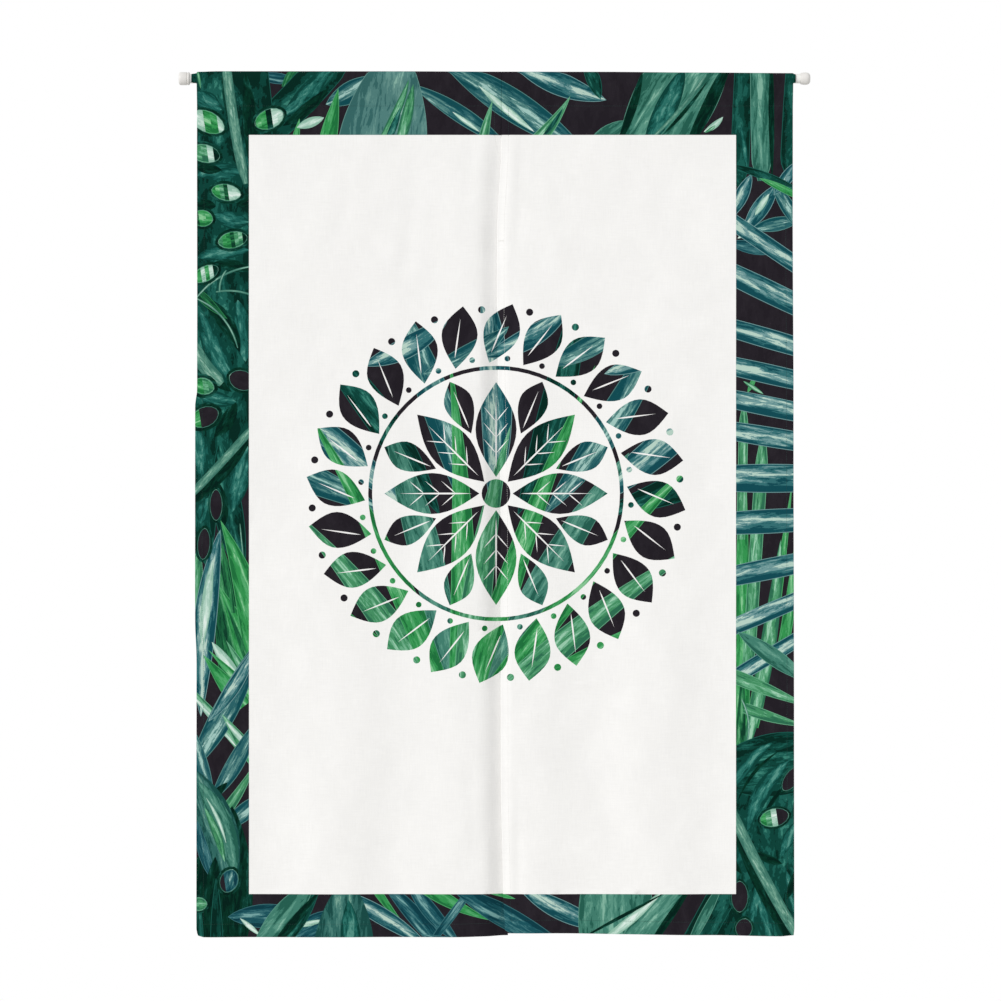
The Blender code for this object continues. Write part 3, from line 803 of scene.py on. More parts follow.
class FlatCloth:
    """The points, lines and outlines that divide one panel's flat cloth."""

    def __init__(self):
        self.points, self.edges, self.faces, self.tags = [], [], [], []

    def add_outline(self, outline, tag):
        outline = without_doubles(np.asarray(outline, dtype=float))
        after = np.roll(outline, -1, axis=0)
        area = (outline[:, 0] * after[:, 1] - outline[:, 1] * after[:, 0]).sum() / 2
        if len(outline) < 3 or abs(area) < LEAST_AREA:
            return
        if area < 0:
            outline = outline[::-1]
        start = len(self.points)
        self.points += [Vector(point) for point in outline]
        self.faces.append(list(range(start, start + len(outline))))
        self.tags.append(tag)

    def add_line(self, line):
        start = len(self.points)
        self.points += [Vector(point) for point in line]
        self.edges += [(i, i + 1) for i in range(start, start + len(line) - 1)]

    def add_points(self, points):
        self.points += [Vector(point) for point in points]


def edge_drop(along):
    """The drop at which a place along the flat cloth hangs, near enough for its edges."""
    along = np.asarray(along, dtype=float)
    over = np.where(along < -POCKET_TOP_RUN, -along - POCKET_TOP_RUN, 0.0)
    top = POCKET_RISE * np.sin(math.pi * np.clip(-along / POCKET_TOP_RUN, 0, 1))
    return np.where(along > 0, along, np.where(along < -POCKET_TOP_RUN, over, -top))


def side_line(panel, way, inside, alongs):
    """Points down a panel's left (-1) or right (1) edge, a distance inside it."""
    left, right = panel.edges(edge_drop(alongs))
    x = left + inside if way < 0 else right - inside
    return np.stack((x, alongs), axis=1)


def flat_rows():
    """Places along the cloth from the pocket's raw edge to just over the hem."""
    tail = -(POCKET_TOP_RUN + POCKET_SEAM_DROP + POCKET_TAIL)
    back = np.arange(tail, -POCKET_TOP_RUN - 3, 6)
    over = np.arange(-POCKET_TOP_RUN - 2, 4, TOP_ROW_STEP)
    front = (6, 7, 10, 15, 20, 26, 32, POCKET_SEAM_DROP, 42, 47, 53)
    hanging = np.arange(60, FULL_DROP - 12, LATTICE)
    return np.concatenate((back, over, front, hanging))


def divide_cloth(panel, shapes, motifs):
    """Divides a panel's flat cloth into triangles, each with the leaf that it shows."""
    flat = FlatCloth()
    rows = flat_rows()
    hem_rows = np.concatenate((rows, FULL_DROP + np.array((-5, 0, 6, BOTTOM_HEM))))
    left = side_line(panel, -1, -SIDE_HEM, hem_rows)
    right = side_line(panel, 1, -SIDE_HEM, hem_rows)
    columns = np.arange(LATTICE_LEFT, LATTICE_RIGHT, LATTICE)
    across = columns[(columns > left[-1, 0]) & (columns < right[-1, 0])]
    across = np.concatenate((left[-1:, 0], across, right[-1:, 0]))
    hem = read_line(panel.hem_line, across) - EDGE_INSET
    kept_left, kept_right = (side[side[:, 1] < FULL_DROP - 6] for side in (left, right))
    bottom = np.stack((across, hem + BOTTOM_HEM), axis=1)
    flat.add_outline(np.concatenate((kept_left, bottom, kept_right[::-1])), "cloth")

    for inside in EDGE_LINES:
        for way in (-1, 1):
            flat.add_line(side_line(panel, way, inside, hem_rows))
        flat.add_line(np.stack((across, hem - inside), axis=1))
    for inside in SLIT_LINES:
        flat.add_line(side_line(panel, panel.slit_side, inside, hem_rows))
    for way in (-1, 1):
        flat.add_line(side_line(panel, way, SIDE_HEM, hem_rows))
    widest = (left[:, 0].min(), right[:, 0].max())
    for row in rows[rows <= POCKET_SEAM_DROP]:
        if row > -POCKET_TOP_RUN - 3 or row < -POCKET_TOP_RUN - POCKET_SEAM_DROP + 4:
            flat.add_line(((widest[0], row), (widest[1], row)))
    for row in (-POCKET_TOP_RUN - POCKET_SEAM_DROP, 42, 47):
        flat.add_line(((widest[0], row), (widest[1], row)))

    low, high = panel.edges(edge_drop(rows))
    for row, from_x, to_x in zip(rows, low, high):
        near_left = SLIT_LINES[-1] if panel.slit_side < 0 else SIDE_HEM
        near_right = SLIT_LINES[-1] if panel.slit_side > 0 else SIDE_HEM
        inner = columns[(columns > from_x + near_left + 3) & (columns < to_x - near_right - 3)]
        flat.add_points([(x, row) for x in inner])

    field = np.array(((FIELD_LEFT, FIELD_TOP), (FIELD_RIGHT, FIELD_TOP),
                      (FIELD_RIGHT, FIELD_BOTTOM), (FIELD_LEFT, FIELD_BOTTOM)))
    flat.add_outline(field, "field")
    for outline in motifs[0]:
        flat.add_outline(outline, "motif")
    for outline in motifs[1]:
        flat.add_outline(outline, "vein")

    x_low, x_high = widest[0] - 2, widest[1] + 2
    field_low, field_high = max(FIELD_LEFT, x_low), min(FIELD_RIGHT, x_high)
    bands = (
        (x_low, min(FIELD_LEFT, x_high), PRINT_TOP, PRINT_BOTTOM),
        (max(FIELD_RIGHT, x_low), x_high, PRINT_TOP, PRINT_BOTTOM),
        (field_low, field_high, PRINT_TOP, FIELD_TOP),
        (field_low, field_high, FIELD_BOTTOM, PRINT_BOTTOM),
    )
    disc = (max(ROUNDEL_X - ROUNDEL_RADIUS, x_low), min(ROUNDEL_X + ROUNDEL_RADIUS, x_high),
            ROUNDEL_DROP - ROUNDEL_RADIUS, ROUNDEL_DROP + ROUNDEL_RADIUS)
    for zone, boxes in (("border", bands), ("roundel", (disc,))):
        for number, (_, outlines) in enumerate(shapes[zone]):
            for side, box in itertools.product(outlines, boxes):
                if box[0] < box[1] and box[2] < box[3]:
                    flat.add_outline(clip_outline(side, box), (zone, number))

    points, _, triangles, _, _, sources = delaunay_2d_cdt(
        flat.points, flat.edges, flat.faces, 1, MERGE_WITHIN, True
    )
    kept, shown = [], []
    for triangle, source in zip(triangles, sources):
        tags = [flat.tags[i] for i in source]
        if "cloth" not in tags:
            continue
        in_field = "field" in tags
        printed = not in_field or ("motif" in tags and "vein" not in tags)
        zone = "roundel" if in_field else "border"
        tops = [tag[1] for tag in tags if tag[0] == zone]
        kept.append(triangle)
        if not printed:
            shown.append(("field", -1))
        elif tops:
            shown.append((zone, max(tops)))
        else:
            shown.append(("ground", -1))
    return np.array([tuple(point) for point in points]), np.array(kept), shown


# How far the light ridge strays across from leaf to leaf, as a share of the half width, and
# how the strokes differ from leaf to leaf
RIDGE_STRAY, STRAY_TURN = 0.15, 5.1
SEED_STEP, ROUNDEL_SEED = 0.73, 40
# The distance from an edge, in millimetres, that is written where there is no rim
NO_EDGE = 99.0


def leaf_places(leaf, places):
    """Where places lie on a leaf: along it, signed across it, and its half width there."""
    starts, runs = leaf.middle[:-1], np.diff(leaf.middle, axis=0)
    lengths = np.linalg.norm(runs, axis=1)
    run_start = np.concatenate(([0], np.cumsum(lengths)))
    offset = places[:, None, :] - starts[None]
    t = np.clip((offset * runs).sum(axis=2) / (lengths ** 2), 0, 1)
    gap = offset - runs * t[:, :, None]
    nearest = np.argmin((gap ** 2).sum(axis=2), axis=1)
    index = np.arange(len(places))
    part = t[index, nearest]
    gap = gap[index, nearest]
    run = runs[nearest]
    sign = np.sign(run[:, 0] * gap[:, 1] - run[:, 1] * gap[:, 0])
    along = run_start[nearest] + part * lengths[nearest]
    width = leaf.half_widths[nearest] * (1 - part) + leaf.half_widths[nearest + 1] * part
    return along, sign * np.linalg.norm(gap, axis=1), np.maximum(width, 0.3)


def linear_colour(text):
    """A colour written as sRGB hex, as linear red, green, blue and alpha."""
    parts = np.array([int(text[i:i + 2], 16) / 255 for i in (1, 3, 5)])
    linear = np.where(parts <= 0.04045, parts / 12.92, ((parts + 0.055) / 1.055) ** 2.4)
    return (*linear, 1.0)


def paint_cloth(mesh, corners, shown, shapes):
    """Writes on each corner its leaf's four tones and where on that leaf it lies."""
    tones = np.zeros((4, len(corners), 4), dtype=np.float32)
    strokes = np.zeros((len(corners), 3), dtype=np.float32)
    span = np.zeros((len(corners), 3), dtype=np.float32)
    groups = {}
    for number, what in enumerate(shown):
        groups.setdefault(what, []).append(number)
    for (zone, number), triangles in groups.items():
        index = (np.array(triangles)[:, None] * 3 + np.arange(3)).ravel()
        places = corners[index]
        if zone in ("field", "ground"):
            kind = KINDS[zone]
            along, across, width = places[:, 1], places[:, 0], np.full(len(places), NO_EDGE)
            across_share, seed = np.zeros(len(places)), 0.0
        else:
            leaf = shapes[zone][number][0]
            kind = KINDS[leaf.kind]
            along, across, width = leaf_places(leaf, places)
            across_share = np.clip(across / width, -1, 1)
            seed = number * SEED_STEP + (ROUNDEL_SEED if zone == "roundel" else 0)
        stray = math.sin(seed * STRAY_TURN) if kind.rim else 0
        for tone, text in enumerate(kind.tones):
            tones[tone, index] = linear_colour(text)
        strokes[index, 0] = along / kind.stroke_length
        strokes[index, 1] = across / kind.stroke_width
        strokes[index, 2] = seed
        span[index, 0] = across_share - kind.ridge - RIDGE_STRAY * stray
        span[index, 1] = (1 - abs(across_share)) * width if kind.rim else NO_EDGE
        span[index, 2] = kind.lift
    for name, values in zip(TONE_LAYERS, tones):
        layer = mesh.attributes.new(name, "FLOAT_COLOR", "CORNER")
        layer.data.foreach_set("color", values.ravel())
    for name, values in (("strokes", strokes), ("span", span)):
        layer = mesh.attributes.new(name, "FLOAT_VECTOR", "CORNER")
        layer.data.foreach_set("vector", values.ravel())
    flat = mesh.uv_layers.new(name="flat_cloth")
    flat.data.foreach_set("uv", (corners * MM).astype(np.float32).ravel())


def add_node(tree, kind, links=(), **settings):
    """A node with its settings, and its inputs set to values or linked from outputs."""
    node = tree.nodes.new(kind)
    for name, value in settings.items():
        setattr(node, name, value)
    for socket, value in dict(links).items():
        if isinstance(value, bpy.types.NodeSocket):
            tree.links.new(value, node.inputs[socket])
        else:
            node.inputs[socket].default_value = value
    return node


def new_material(name):
    """An empty material and its shader."""
    material = bpy.data.materials.new(name)
    material.use_nodes = True
    return material, material.node_tree, material.node_tree.nodes["Principled BSDF"]


def noise(tree, place, scale, detail, **inputs):
    """Noise over a place, from 0 to 1."""
    inputs = {"Vector": place, "Scale": scale, "Detail": detail, **inputs}
    return add_node(tree, "ShaderNodeTexNoise", inputs).outputs["Fac"]


def remap(tree, value, low, high, to_low=0.0, to_high=1.0):
    """A value's range from low to high, spread over another one."""
    return add_node(tree, "ShaderNodeMapRange", {
        "Value": value, "From Min": low, "From Max": high, "To Min": to_low, "To Max": to_high,
    }).outputs[0]


def maths(tree, operation, *values):
    """What an operation makes of some values."""
    return add_node(tree, "ShaderNodeMath", enumerate(values), operation=operation).outputs[0]


def mix(tree, share, first, second, blend="MIX"):
    """Two colours, blended by a share."""
    return add_node(tree, "ShaderNodeMix", {"Factor": share, "A": first, "B": second},
                    data_type="RGBA", blend_type=blend).outputs["Result"]


def finish_surface(tree, shader, colour, roughness, relief=None, strength=0.0, distance=0.0):
    """Gives a shader its colour, its roughness and its fine relief."""
    tree.links.new(colour, shader.inputs["Base Color"])
    shader.inputs["Roughness"].default_value = roughness
    if relief:
        bump = add_node(tree, "ShaderNodeBump", {
            "Height": relief, "Strength": strength, "Distance": distance})
        tree.links.new(bump.outputs[0], shader.inputs["Normal"])


# The print: the attributes that hold a leaf's tones, how high its ridge stands, where one
# tone gives way to the next and how sharply, and how near the edge its rim begins and is full
TONE_LAYERS = ("tone_deep", "tone_body", "tone_light", "tone_pale")
RIDGE_HEIGHT = 0.35
STREAK_RANGE = (0.14, 0.86)
TONE_LIMITS, TONE_BLUR = (0.45, 0.585, 0.70), 0.006
RIM_START, RIM_FULL = 1.1, 0.7
# Slubs: threads 1 mm wide, thick for about 25 mm of their length, across and along
SLUB_SCALES = ((1000, 40, 1), (40, 1000, 1))


def printed_cotton(name, show_through):
    """Plain-weave cotton and linen, printed with reactive dye: matt, slubby, with brush
    strokes in four flat tones. Seen from behind, the dye shows through faintly."""
    material, tree, shader = new_material(name)
    strokes, span, *tones = (
        add_node(tree, "ShaderNodeAttribute", attribute_name=layer)
        for layer in ("strokes", "span", *TONE_LAYERS))
    tones = [tone.outputs["Color"] for tone in tones]
    place_on_leaf = {"Vector": span.outputs["Vector"]}
    across, from_edge, lift = add_node(tree, "ShaderNodeSeparateXYZ", place_on_leaf).outputs
    streaks = noise(tree, strokes.outputs["Vector"], 1.0, 5.0, Roughness=0.68, Distortion=0.35)
    ridge = maths(tree, "SUBTRACT", RIDGE_HEIGHT, maths(tree, "MULTIPLY", across, across))
    tone = maths(tree, "MULTIPLY_ADD", ridge, lift, remap(tree, streaks, *STREAK_RANGE))
    colour = tones[0]
    for limit, next_tone in zip(TONE_LIMITS, tones[1:]):
        above = remap(tree, tone, limit - TONE_BLUR, limit + TONE_BLUR)
        colour = mix(tree, above, colour, next_tone)
    colour = mix(tree, remap(tree, from_edge, RIM_START, RIM_FULL), colour, tones[2])

    place = add_node(tree, "ShaderNodeTexCoord").outputs["UV"]
    yarns = []
    for stretch in SLUB_SCALES:
        turned = add_node(tree, "ShaderNodeMapping", {"Vector": place, "Scale": stretch})
        yarns.append(noise(tree, turned.outputs[0], 1.0, 2.0))
    yarn = maths(tree, "ADD", *yarns)
    colour = mix(tree, 1.0, colour, remap(tree, yarn, 0.6, 1.4, 0.96, 1.03), "MULTIPLY")
    if show_through < 1:
        colour = mix(tree, show_through, linear_colour(FIELD_TONES[1]), colour)
    finish_surface(tree, shader, colour, 1.0, yarn, 0.25, 0.0003)
    shader.inputs["Specular IOR Level"].default_value = 0.05
    return material


def sewing_thread(name, text):
    """Spun polyester thread: a soft, slightly shiny twist."""
    material, tree, shader = new_material(name)
    place = add_node(tree, "ShaderNodeTexCoord").outputs["Object"]
    twist = remap(tree, noise(tree, place, 900.0, 2.0), 0.0, 1.0, 0.85, 1.1)
    colour = mix(tree, 1.0, linear_colour(text), twist, "MULTIPLY")
    finish_surface(tree, shader, colour, 0.6)
    return material


def grained(name, tones, patches, grain, strength, roughness):
    """A hard surface in patches of two near tones, with a fine grain: scale and detail."""
    material, tree, shader = new_material(name)
    place = add_node(tree, "ShaderNodeTexCoord").outputs["Object"]
    colour = mix(tree, noise(tree, place, patches, 4.0), *map(linear_colour, tones))
    finish_surface(tree, shader, colour, roughness, noise(tree, place, *grain), strength, 0.0002)
    return material


def sprayed_enamel(name):
    """White enamel sprayed on a steel tube: satin, with a faint orange-peel surface."""
    return grained(name, ("#F3F2EF", "#ECEBE6"), 60.0, (700.0, 2.0), 0.15, 0.32)


def moulded_plastic(name):
    """White moulded polypropylene: soft gloss, fine mould grain, a trace of grime."""
    return grained(name, ("#EBE9E6", "#DDDAD5"), 150.0, (1400.0, 3.0), 0.2, 0.42)


def new_piece(name, mesh, slot, *replaced):
    """A finished piece on the curtain's body."""
    piece = bpy.data.objects.new(name, mesh)
    bpy.context.scene.collection.objects.link(piece)
    return dress_piece(piece, slot, *replaced)


def dress_piece(piece, slot, *replaced):
    """Lets a piece ride on the curtain's body, in the place of what it replaces."""
    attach(piece, "root" if "root" in frame["bodies"] else next(iter(frame["bodies"])))
    if replaced:
        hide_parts(*replaced)
    return piece


def apply_modifiers(piece):
    """Applies all of a piece's modifiers in order."""
    bpy.ops.object.select_all(action="DESELECT")
    piece.select_set(True)
    bpy.context.view_layer.objects.active = piece
    for modifier in list(piece.modifiers):
        bpy.ops.object.modifier_apply(modifier=modifier.name)


# The stage: where the camera and the key light aim, where the key light stands from there and
# how wide it looks, in degrees
VIEW_AIM = Vector((6.9 * MM, 0, -585.8 * MM))
KEY_PLACE, KEY_SPREAD = Vector((-4.6, -4.4, 2.2)), 24


class NorenClothSettings(bpy.types.PropertyGroup):
    thickness: bpy.props.FloatProperty(
        name="Cloth thickness", description="Thickness of one layer of the printed cloth",
        default=CLOTH_THICKNESS, unit="LENGTH")
    show_through: bpy.props.FloatProperty(
        name="Show-through", description="How much of the dye shows on the back",
        default=0.62, min=0, max=1, subtype="FACTOR")
    flat_width: bpy.props.FloatProperty(
        name="Cut width", description="Width to which the left panel was cut, with its hems",
        default=0.456, unit="LENGTH")
    flat_length: bpy.props.FloatProperty(
        name="Cut length", description="Length to which a panel was cut, with pocket and hem",
        default=1.285, unit="LENGTH")


class NorenThreadSettings(bpy.types.PropertyGroup):
    diameter: bpy.props.FloatProperty(
        name="Thread", description="Diameter of the sewing thread", default=0.3 * MM, unit="LENGTH")
    pitch: bpy.props.FloatProperty(
        name="Stitch length", description="From one needle hole to the next", default=3 * MM,
        unit="LENGTH")
    shown: bpy.props.FloatProperty(
        name="Shown part", description="How much of each stitch lies on the cloth", default=0.86,
        min=0, max=1, subtype="FACTOR")
    dark: bpy.props.StringProperty(
        name="Dark thread", description="Colour of the thread in the print, as sRGB hex",
        default="#234440")
    pale: bpy.props.StringProperty(
        name="Pale thread", description="Colour of the thread in the plain field, as sRGB hex",
        default="#ECEAE6")


class NorenCapSettings(bpy.types.PropertyGroup):
    foot_hollow: bpy.props.FloatProperty(
        name="Foot hollow", description="Depth of the hollow in a cap's foot", default=0.6 * MM,
        unit="LENGTH")
    sides: bpy.props.IntProperty(name="Sides", description="Sides of a cap", default=56, min=12)


class NorenRodSettings(bpy.types.PropertyGroup):
    diameter: bpy.props.FloatProperty(
        name="Rod diameter", description="Outer diameter of the rod's tube",
        default=ROD_HIGH[2] - ROD_LOW[2], unit="LENGTH")
    wall: bpy.props.FloatProperty(
        name="Tube wall", description="Thickness of the tube's wall", default=0.8 * MM,
        unit="LENGTH")
    hollow: bpy.props.FloatProperty(
        name="Open depth", description="How far in the tube's ends are open", default=3 * MM,
        unit="LENGTH")
    sides: bpy.props.IntProperty(
        name="Sides", description="Sides of round pieces", default=64, min=12)


class NorenStageSettings(bpy.types.PropertyGroup):
    distance: bpy.props.FloatProperty(
        name="Camera distance", description="From the camera to the cloth", default=5.0,
        unit="LENGTH")
    view_width: bpy.props.FloatProperty(
        name="View width", description="Width of the view at the cloth", default=1.390,
        unit="LENGTH")
    floor_drop: bpy.props.FloatProperty(
        name="Floor drop", description="From the rod's axis to the floor", default=1.95,
        unit="LENGTH")
    sky: bpy.props.FloatProperty(
        name="Soft light", description="Strength of the even light from all around", default=0.66)
    key: bpy.props.FloatProperty(
        name="Key light", description="Strength of the light from the upper left", default=1.72)


def make_panel(panel, settings, shapes, motifs, materials):
    """One printed panel: cut flat, printed, turned under at its edges and hung."""
    points, triangles, shown = divide_cloth(panel, shapes, motifs)
    flat = points[triangles]
    facing = np.cross(flat[:, 1] - flat[:, 0], flat[:, 2] - flat[:, 0]) > 0
    triangles = np.where(facing[:, None], triangles[:, ::-1], triangles)
    hung = hang(panel, points[:, 0], points[:, 1]) * MM
    mesh = bpy.data.meshes.new(panel.name + "_cloth")
    mesh.from_pydata(hung.tolist(), [], triangles.tolist())
    corners = points[triangles].reshape(-1, 2)
    paint_cloth(mesh, corners, shown, shapes)
    for material in materials:
        mesh.materials.append(material)
    mesh.shade_smooth()
    piece = new_piece(panel.name.replace("panel", "cloth"), mesh, "cloth", panel.name)
    solid = piece.modifiers.new("thickness", "SOLIDIFY")
    solid.thickness = settings.thickness
    solid.offset = 0
    solid.material_offset = 1
    apply_modifiers(piece)
    piece.data.set_sharp_from_angle(angle=math.radians(60))
    print(piece.name, "triangles", sum(len(face.vertices) - 2 for face in piece.data.polygons))
    return piece


def stitch_runs(panel, pitch):
    """Places on the flat cloth, a stitch apart, along every line that is sewn."""
    runs = []
    down = np.arange(POCKET_SEAM_DROP + 3, FULL_DROP - BOTTOM_HEM, pitch)
    for way, inside in itertools.product((-1, 1), (HEM_STITCH, -HEM_STITCH - TURN_LOSS)):
        runs.append(side_line(panel, way, inside, down))
    widest = [side[:, 0] for side in (side_line(panel, way, 2, down) for way in (-1, 1))]
    across = np.arange(widest[0].max(), widest[1].min(), pitch)
    hem = read_line(panel.hem_line, across) - EDGE_INSET
    for inside in (BOTTOM_STITCH, -BOTTOM_STITCH - TURN_LOSS):
        runs.append(np.stack((across, hem - inside), axis=1))
    for along in (POCKET_SEAM_DROP, -POCKET_TOP_RUN - POCKET_SEAM_DROP):
        runs.append(np.stack((across, np.full(len(across), along)), axis=1))
    tack = np.arange(TACK_STITCHES)
    edge = side_line(panel, panel.slit_side, 1.5, np.array([SLIT_TOP_DROP]))[0]
    runs.append(np.stack((edge[0] - panel.slit_side * tack * TACK_STEP,
                          edge[1] + TACK_HEIGHT * (tack % 2)), axis=1))
    return runs


def make_thread(name, panel, starts, ends, settings, material):
    """Stitches from starts to ends on the flat cloth, each a short thread that dips in at
    both ends."""
    def surface(places):
        here = hang(panel, *places.T)
        aside = hang(panel, *(places + (0.2, 0)).T) - here
        ahead = hang(panel, *(places + (0, 0.2)).T) - here
        outward = -np.cross(aside, ahead)
        return here, outward / np.linalg.norm(outward, axis=1)[:, None]

    radius = settings.diameter / MM / 2
    lift = CLOTH_THICKNESS / MM / 2 + radius * THREAD_STANDS
    first, out = surface(starts)
    last, _ = surface(ends)
    run = last - first
    aside = np.cross(run, out)
    aside *= radius / np.linalg.norm(aside, axis=1)[:, None]
    rings = [first + out * (lift - radius * THREAD_DIPS)]
    for share in THREAD_SHOULDERS:
        middle = first + run * share + out * lift
        rings += [middle + aside, middle + out * radius, middle - aside, middle - out * radius]
    rings.append(last + out * (lift - radius * THREAD_DIPS))
    points = np.stack(rings, axis=1)
    pattern = [(0, 1 + (i + 1) % 4, 1 + i) for i in range(4)]
    pattern += [(1 + i, 1 + (i + 1) % 4, 5 + (i + 1) % 4, 5 + i) for i in range(4)]
    pattern += [(5 + i, 5 + (i + 1) % 4, 9) for i in range(4)]
    faces = [tuple(corner + 10 * stitch for corner in face)
             for stitch in range(len(points)) for face in pattern]
    mesh = bpy.data.meshes.new(name)
    mesh.from_pydata((points.reshape(-1, 3) * MM).tolist(), [], faces)
    mesh.materials.append(material)
    mesh.shade_smooth()
    return new_piece(name, mesh, "cloth")


def sew_panel(panel, settings):
    """The lockstitch of one panel: dark thread in the print, pale in the plain field."""
    starts, ends = [], []
    for run in stitch_runs(panel, settings.pitch / MM):
        starts.append(run[:-1])
        ends.append(run[:-1] + np.diff(run, axis=0) * settings.shown)
    starts, ends = np.concatenate(starts), np.concatenate(ends)
    x, drop = starts.T
    plain = (x > FIELD_LEFT) & (x < FIELD_RIGHT) & (drop > FIELD_TOP) & (drop < FIELD_BOTTOM)
    side = panel.name.replace("panel_", "")
    pieces = []
    for tone, text, chosen in (("dark", settings.dark, ~plain), ("pale", settings.pale, plain)):
        material = sewing_thread(f"spun polyester thread, {tone}, {side}", text)
        pieces.append(make_thread(f"{tone}_thread_{side}", panel, starts[chosen], ends[chosen],
                                  settings, material))
    return pieces


class NOREN_OT_hang_panels(bpy.types.Operator):
    """Cut, print, hem and hang the two panels"""
    bl_idname = "noren.hang_panels"
    bl_label = "Hang Panels"

    def execute(self, context):
        settings = context.scene.noren_cloth
        shapes, motifs = {"border": border_shapes(), "roundel": roundel_shapes()}, roundel_motifs()
        materials = (printed_cotton("printed cotton linen, face", 1.0),
                     printed_cotton("printed cotton linen, reverse", settings.show_through))
        for panel, narrower in ((LEFT_PANEL, 0), (RIGHT_PANEL, RIGHT_CUT_NARROWER)):
            piece = make_panel(panel, settings, shapes, motifs, materials)
            threads = sew_panel(panel, context.scene.noren_thread)
        return {"FINISHED"}


class NOREN_OT_make_rod(bpy.types.Operator):
    """Make the white enamelled tube that carries the panels"""
    bl_idname = "noren.make_rod"
    bl_label = "Make Rod"

    def execute(self, context):
        settings = context.scene.noren_rod
        bpy.ops.object.select_all(action="DESELECT")
        middle = (ROD_LOW[0] + ROD_HIGH[0]) / 2
        bpy.ops.mesh.primitive_cylinder_add(
            vertices=settings.sides, radius=settings.diameter / 2, depth=ROD_HIGH[0] - ROD_LOW[0],
            location=(middle, 0, 0), rotation=(0, math.pi / 2, 0))
        piece = context.object
        piece.name = piece.data.name = "rod_tube"
        bpy.ops.object.transform_apply(location=True, rotation=True, scale=True)
        bpy.ops.object.mode_set(mode="EDIT")
        bpy.ops.mesh.select_mode(type="FACE")
        bpy.ops.mesh.select_all(action="DESELECT")
        bpy.ops.object.mode_set(mode="OBJECT")
        for face in piece.data.polygons:
            face.select = abs(face.normal.x) > 0.9
        bpy.ops.object.mode_set(mode="EDIT")
        bpy.ops.mesh.inset(thickness=settings.wall)
        bpy.ops.mesh.extrude_region_shrink_fatten(
            TRANSFORM_OT_shrink_fatten={"value": -settings.hollow})
        bpy.ops.object.mode_set(mode="OBJECT")
        bpy.ops.object.shade_smooth_by_angle(angle=math.radians(40))
        piece.data.materials.append(sprayed_enamel("satin white enamel on steel"))
        dress_piece(piece, "rod_enamel", "rod")
        return {"FINISHED"}


def turn_cap(name, outer_x, way, profile, sides, material):
    """An end cap, drawn out along the rod from its foot: a disc that is extruded and
    widened to each step of its profile, from the outer end inwards."""
    bpy.ops.object.select_all(action="DESELECT")
    (start, radius), *steps = profile
    bpy.ops.mesh.primitive_circle_add(
        vertices=sides, radius=radius * MM, fill_type="NGON",
        location=(outer_x - way * start * MM, 0, 0), rotation=(0, math.pi / 2, 0))
    piece = bpy.context.object
    piece.name = piece.data.name = name
    bpy.ops.object.transform_apply(location=True, rotation=True, scale=True)
    bpy.ops.object.mode_set(mode="EDIT")
    for place, wider in steps:
        bpy.ops.mesh.extrude_region_move(
            TRANSFORM_OT_translate={"value": (-way * (place - start) * MM, 0, 0)})
        bpy.ops.transform.resize(value=(1, wider / radius, wider / radius),
                                 center_override=(outer_x - way * place * MM, 0, 0))
        start, radius = place, wider
    bpy.ops.mesh.select_all(action="SELECT")
    bpy.ops.mesh.normals_make_consistent(inside=False)
    bpy.ops.object.mode_set(mode="OBJECT")
    bpy.ops.object.shade_smooth_by_angle(angle=math.radians(30))
    piece.data.materials.append(material)
    return piece


class NOREN_OT_make_caps(bpy.types.Operator):
    """Make the moulded caps at the rod's two ends"""
    bl_idname = "noren.make_caps"
    bl_label = "Make End Caps"

    def execute(self, context):
        settings = context.scene.noren_caps
        material = moulded_plastic("white moulded polypropylene")
        hollow = settings.foot_hollow / MM
        for side, outer_x, way, profile in (
            ("left", LEFT_FOOT_X, -1, BARREL_CAP), ("right", RIGHT_FOOT_X, 1, BALL_CAP),
        ):
            foot = profile[0][1]
            profile = ((hollow, foot - FOOT_FLOOR), (hollow, foot - FOOT_WALL),
                       (0, foot - FOOT_RIM), *profile)
            piece = turn_cap("cap_" + side, outer_x, way, profile, settings.sides, material)
            dress_piece(piece, "cap_plastic", "end_cap_" + side)
        return {"FINISHED"}


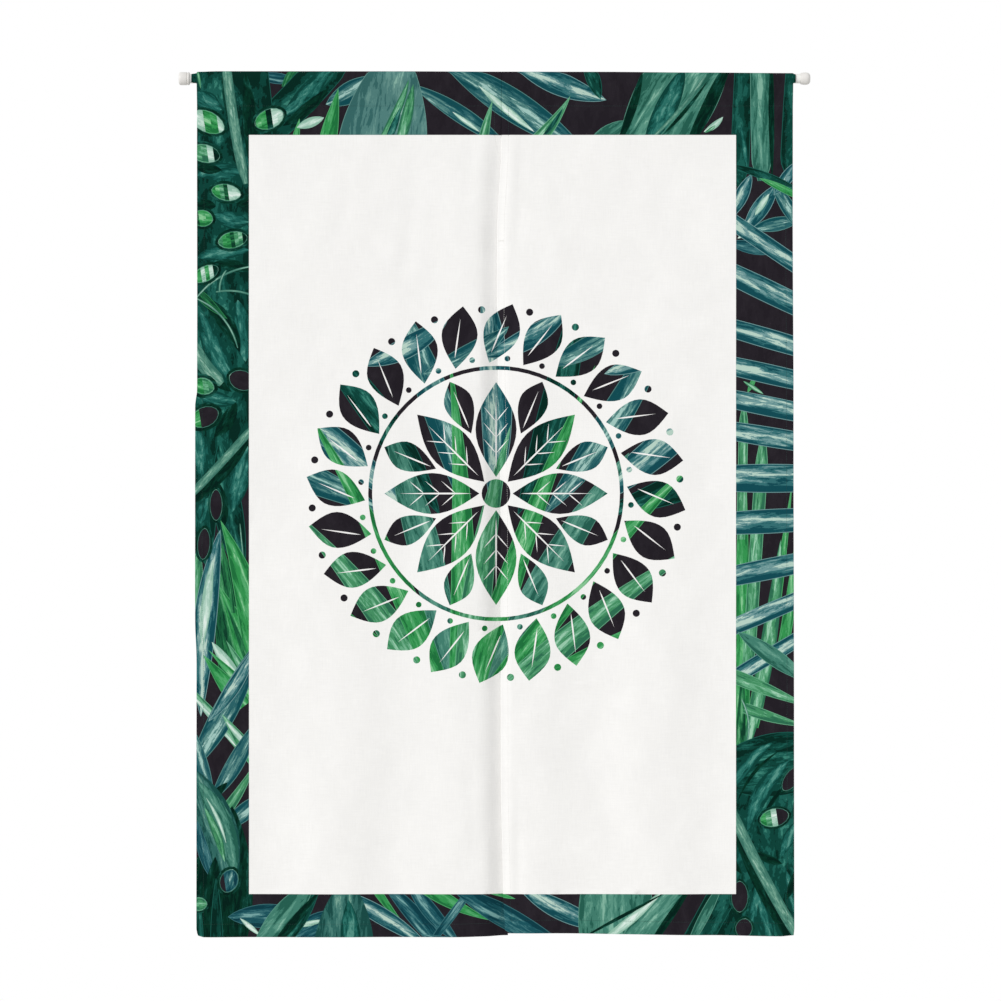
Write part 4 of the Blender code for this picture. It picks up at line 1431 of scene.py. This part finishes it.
class NOREN_OT_set_stage(bpy.types.Operator):
    """Set the floor, the light and the camera"""
    bl_idname = "noren.set_stage"
    bl_label = "Set Stage"

    def execute(self, context):
        settings = context.scene.noren_stage
        camera = bpy.data.objects.new("camera", bpy.data.cameras.new("camera"))
        camera.data.sensor_width = 36
        camera.data.lens = 36 * settings.distance / settings.view_width
        camera.location = VIEW_AIM + Vector((0, -settings.distance, 0))
        camera.rotation_euler = (math.pi / 2, 0, 0)
        context.scene.collection.objects.link(camera)
        context.scene.camera = camera

        bpy.ops.object.select_all(action="DESELECT")
        bpy.ops.mesh.primitive_circle_add(
            vertices=96, radius=2.4, fill_type="NGON", location=(0, 0, -settings.floor_drop))
        floor = context.object
        floor.name = "studio_floor"
        material, _, shader = new_material("matt pale studio floor")
        shader.inputs["Base Color"].default_value = linear_colour("#E9E8E5")
        shader.inputs["Roughness"].default_value = 0.9
        floor.data.materials.append(material)

        lamp = bpy.data.lights.new("key light", "SUN")
        lamp.energy = settings.key
        lamp.angle = math.radians(KEY_SPREAD)
        key = bpy.data.objects.new("key light", lamp)
        key.location = VIEW_AIM + KEY_PLACE
        key.rotation_euler = (-KEY_PLACE).to_track_quat("-Z", "Z").to_euler()
        context.scene.collection.objects.link(key)

        world = bpy.data.worlds.new("white studio")
        context.scene.world = world
        world.use_nodes = True
        tree = world.node_tree
        light = tree.nodes["Background"]
        light.inputs["Color"].default_value = (1, 1, 1, 1)
        light.inputs["Strength"].default_value = settings.sky
        seen = add_node(tree, "ShaderNodeBackground", {"Color": (1, 1, 1, 1), "Strength": 1.0})
        path = add_node(tree, "ShaderNodeLightPath")
        both = add_node(tree, "ShaderNodeMixShader", {
            0: path.outputs["Is Camera Ray"], 1: light.outputs[0], 2: seen.outputs[0]})
        tree.links.new(both.outputs[0], tree.nodes["World Output"].inputs["Surface"])
        context.scene.view_settings.view_transform = "Standard"
        return {"FINISHED"}


class NOREN_PT_sidebar(bpy.types.Panel):
    """The curtain's pieces in the 3D view's sidebar"""
    bl_idname = "NOREN_PT_sidebar"
    bl_label = "Noren Curtain"
    bl_space_type = "VIEW_3D"
    bl_region_type = "UI"
    bl_category = "Noren"

    def draw(self, context):
        for title, settings, operators in (
            ("Cloth", context.scene.noren_cloth, ("hang_panels",)),
            ("Stitching", context.scene.noren_thread, ()),
            ("Rod", context.scene.noren_rod, ("make_rod",)),
            ("End caps", context.scene.noren_caps, ("make_caps",)),
            ("Stage", context.scene.noren_stage, ("set_stage",)),
        ):
            box = self.layout.box()
            box.label(text=title)
            for name in settings.__annotations__:
                box.prop(settings, name)
            for operator in operators:
                box.operator("noren." + operator)


SETTINGS = {"noren_cloth": NorenClothSettings, "noren_thread": NorenThreadSettings,
            "noren_rod": NorenRodSettings, "noren_caps": NorenCapSettings,
            "noren_stage": NorenStageSettings}
CLASSES = (*SETTINGS.values(), NOREN_OT_make_rod, NOREN_OT_make_caps, NOREN_OT_hang_panels,
           NOREN_OT_set_stage, NOREN_PT_sidebar)


def register():
    for cls in CLASSES:
        bpy.utils.register_class(cls)
    for name, settings in SETTINGS.items():
        setattr(bpy.types.Scene, name, bpy.props.PointerProperty(type=settings))


def unregister():
    for name in SETTINGS:
        delattr(bpy.types.Scene, name)
    for cls in reversed(CLASSES):
        bpy.utils.unregister_class(cls)


def main():
    register()
    bpy.ops.noren.make_rod()
    bpy.ops.noren.make_caps()
    bpy.ops.noren.hang_panels()
    bpy.ops.noren.set_stage()


if __name__ == "__main__":
    main()
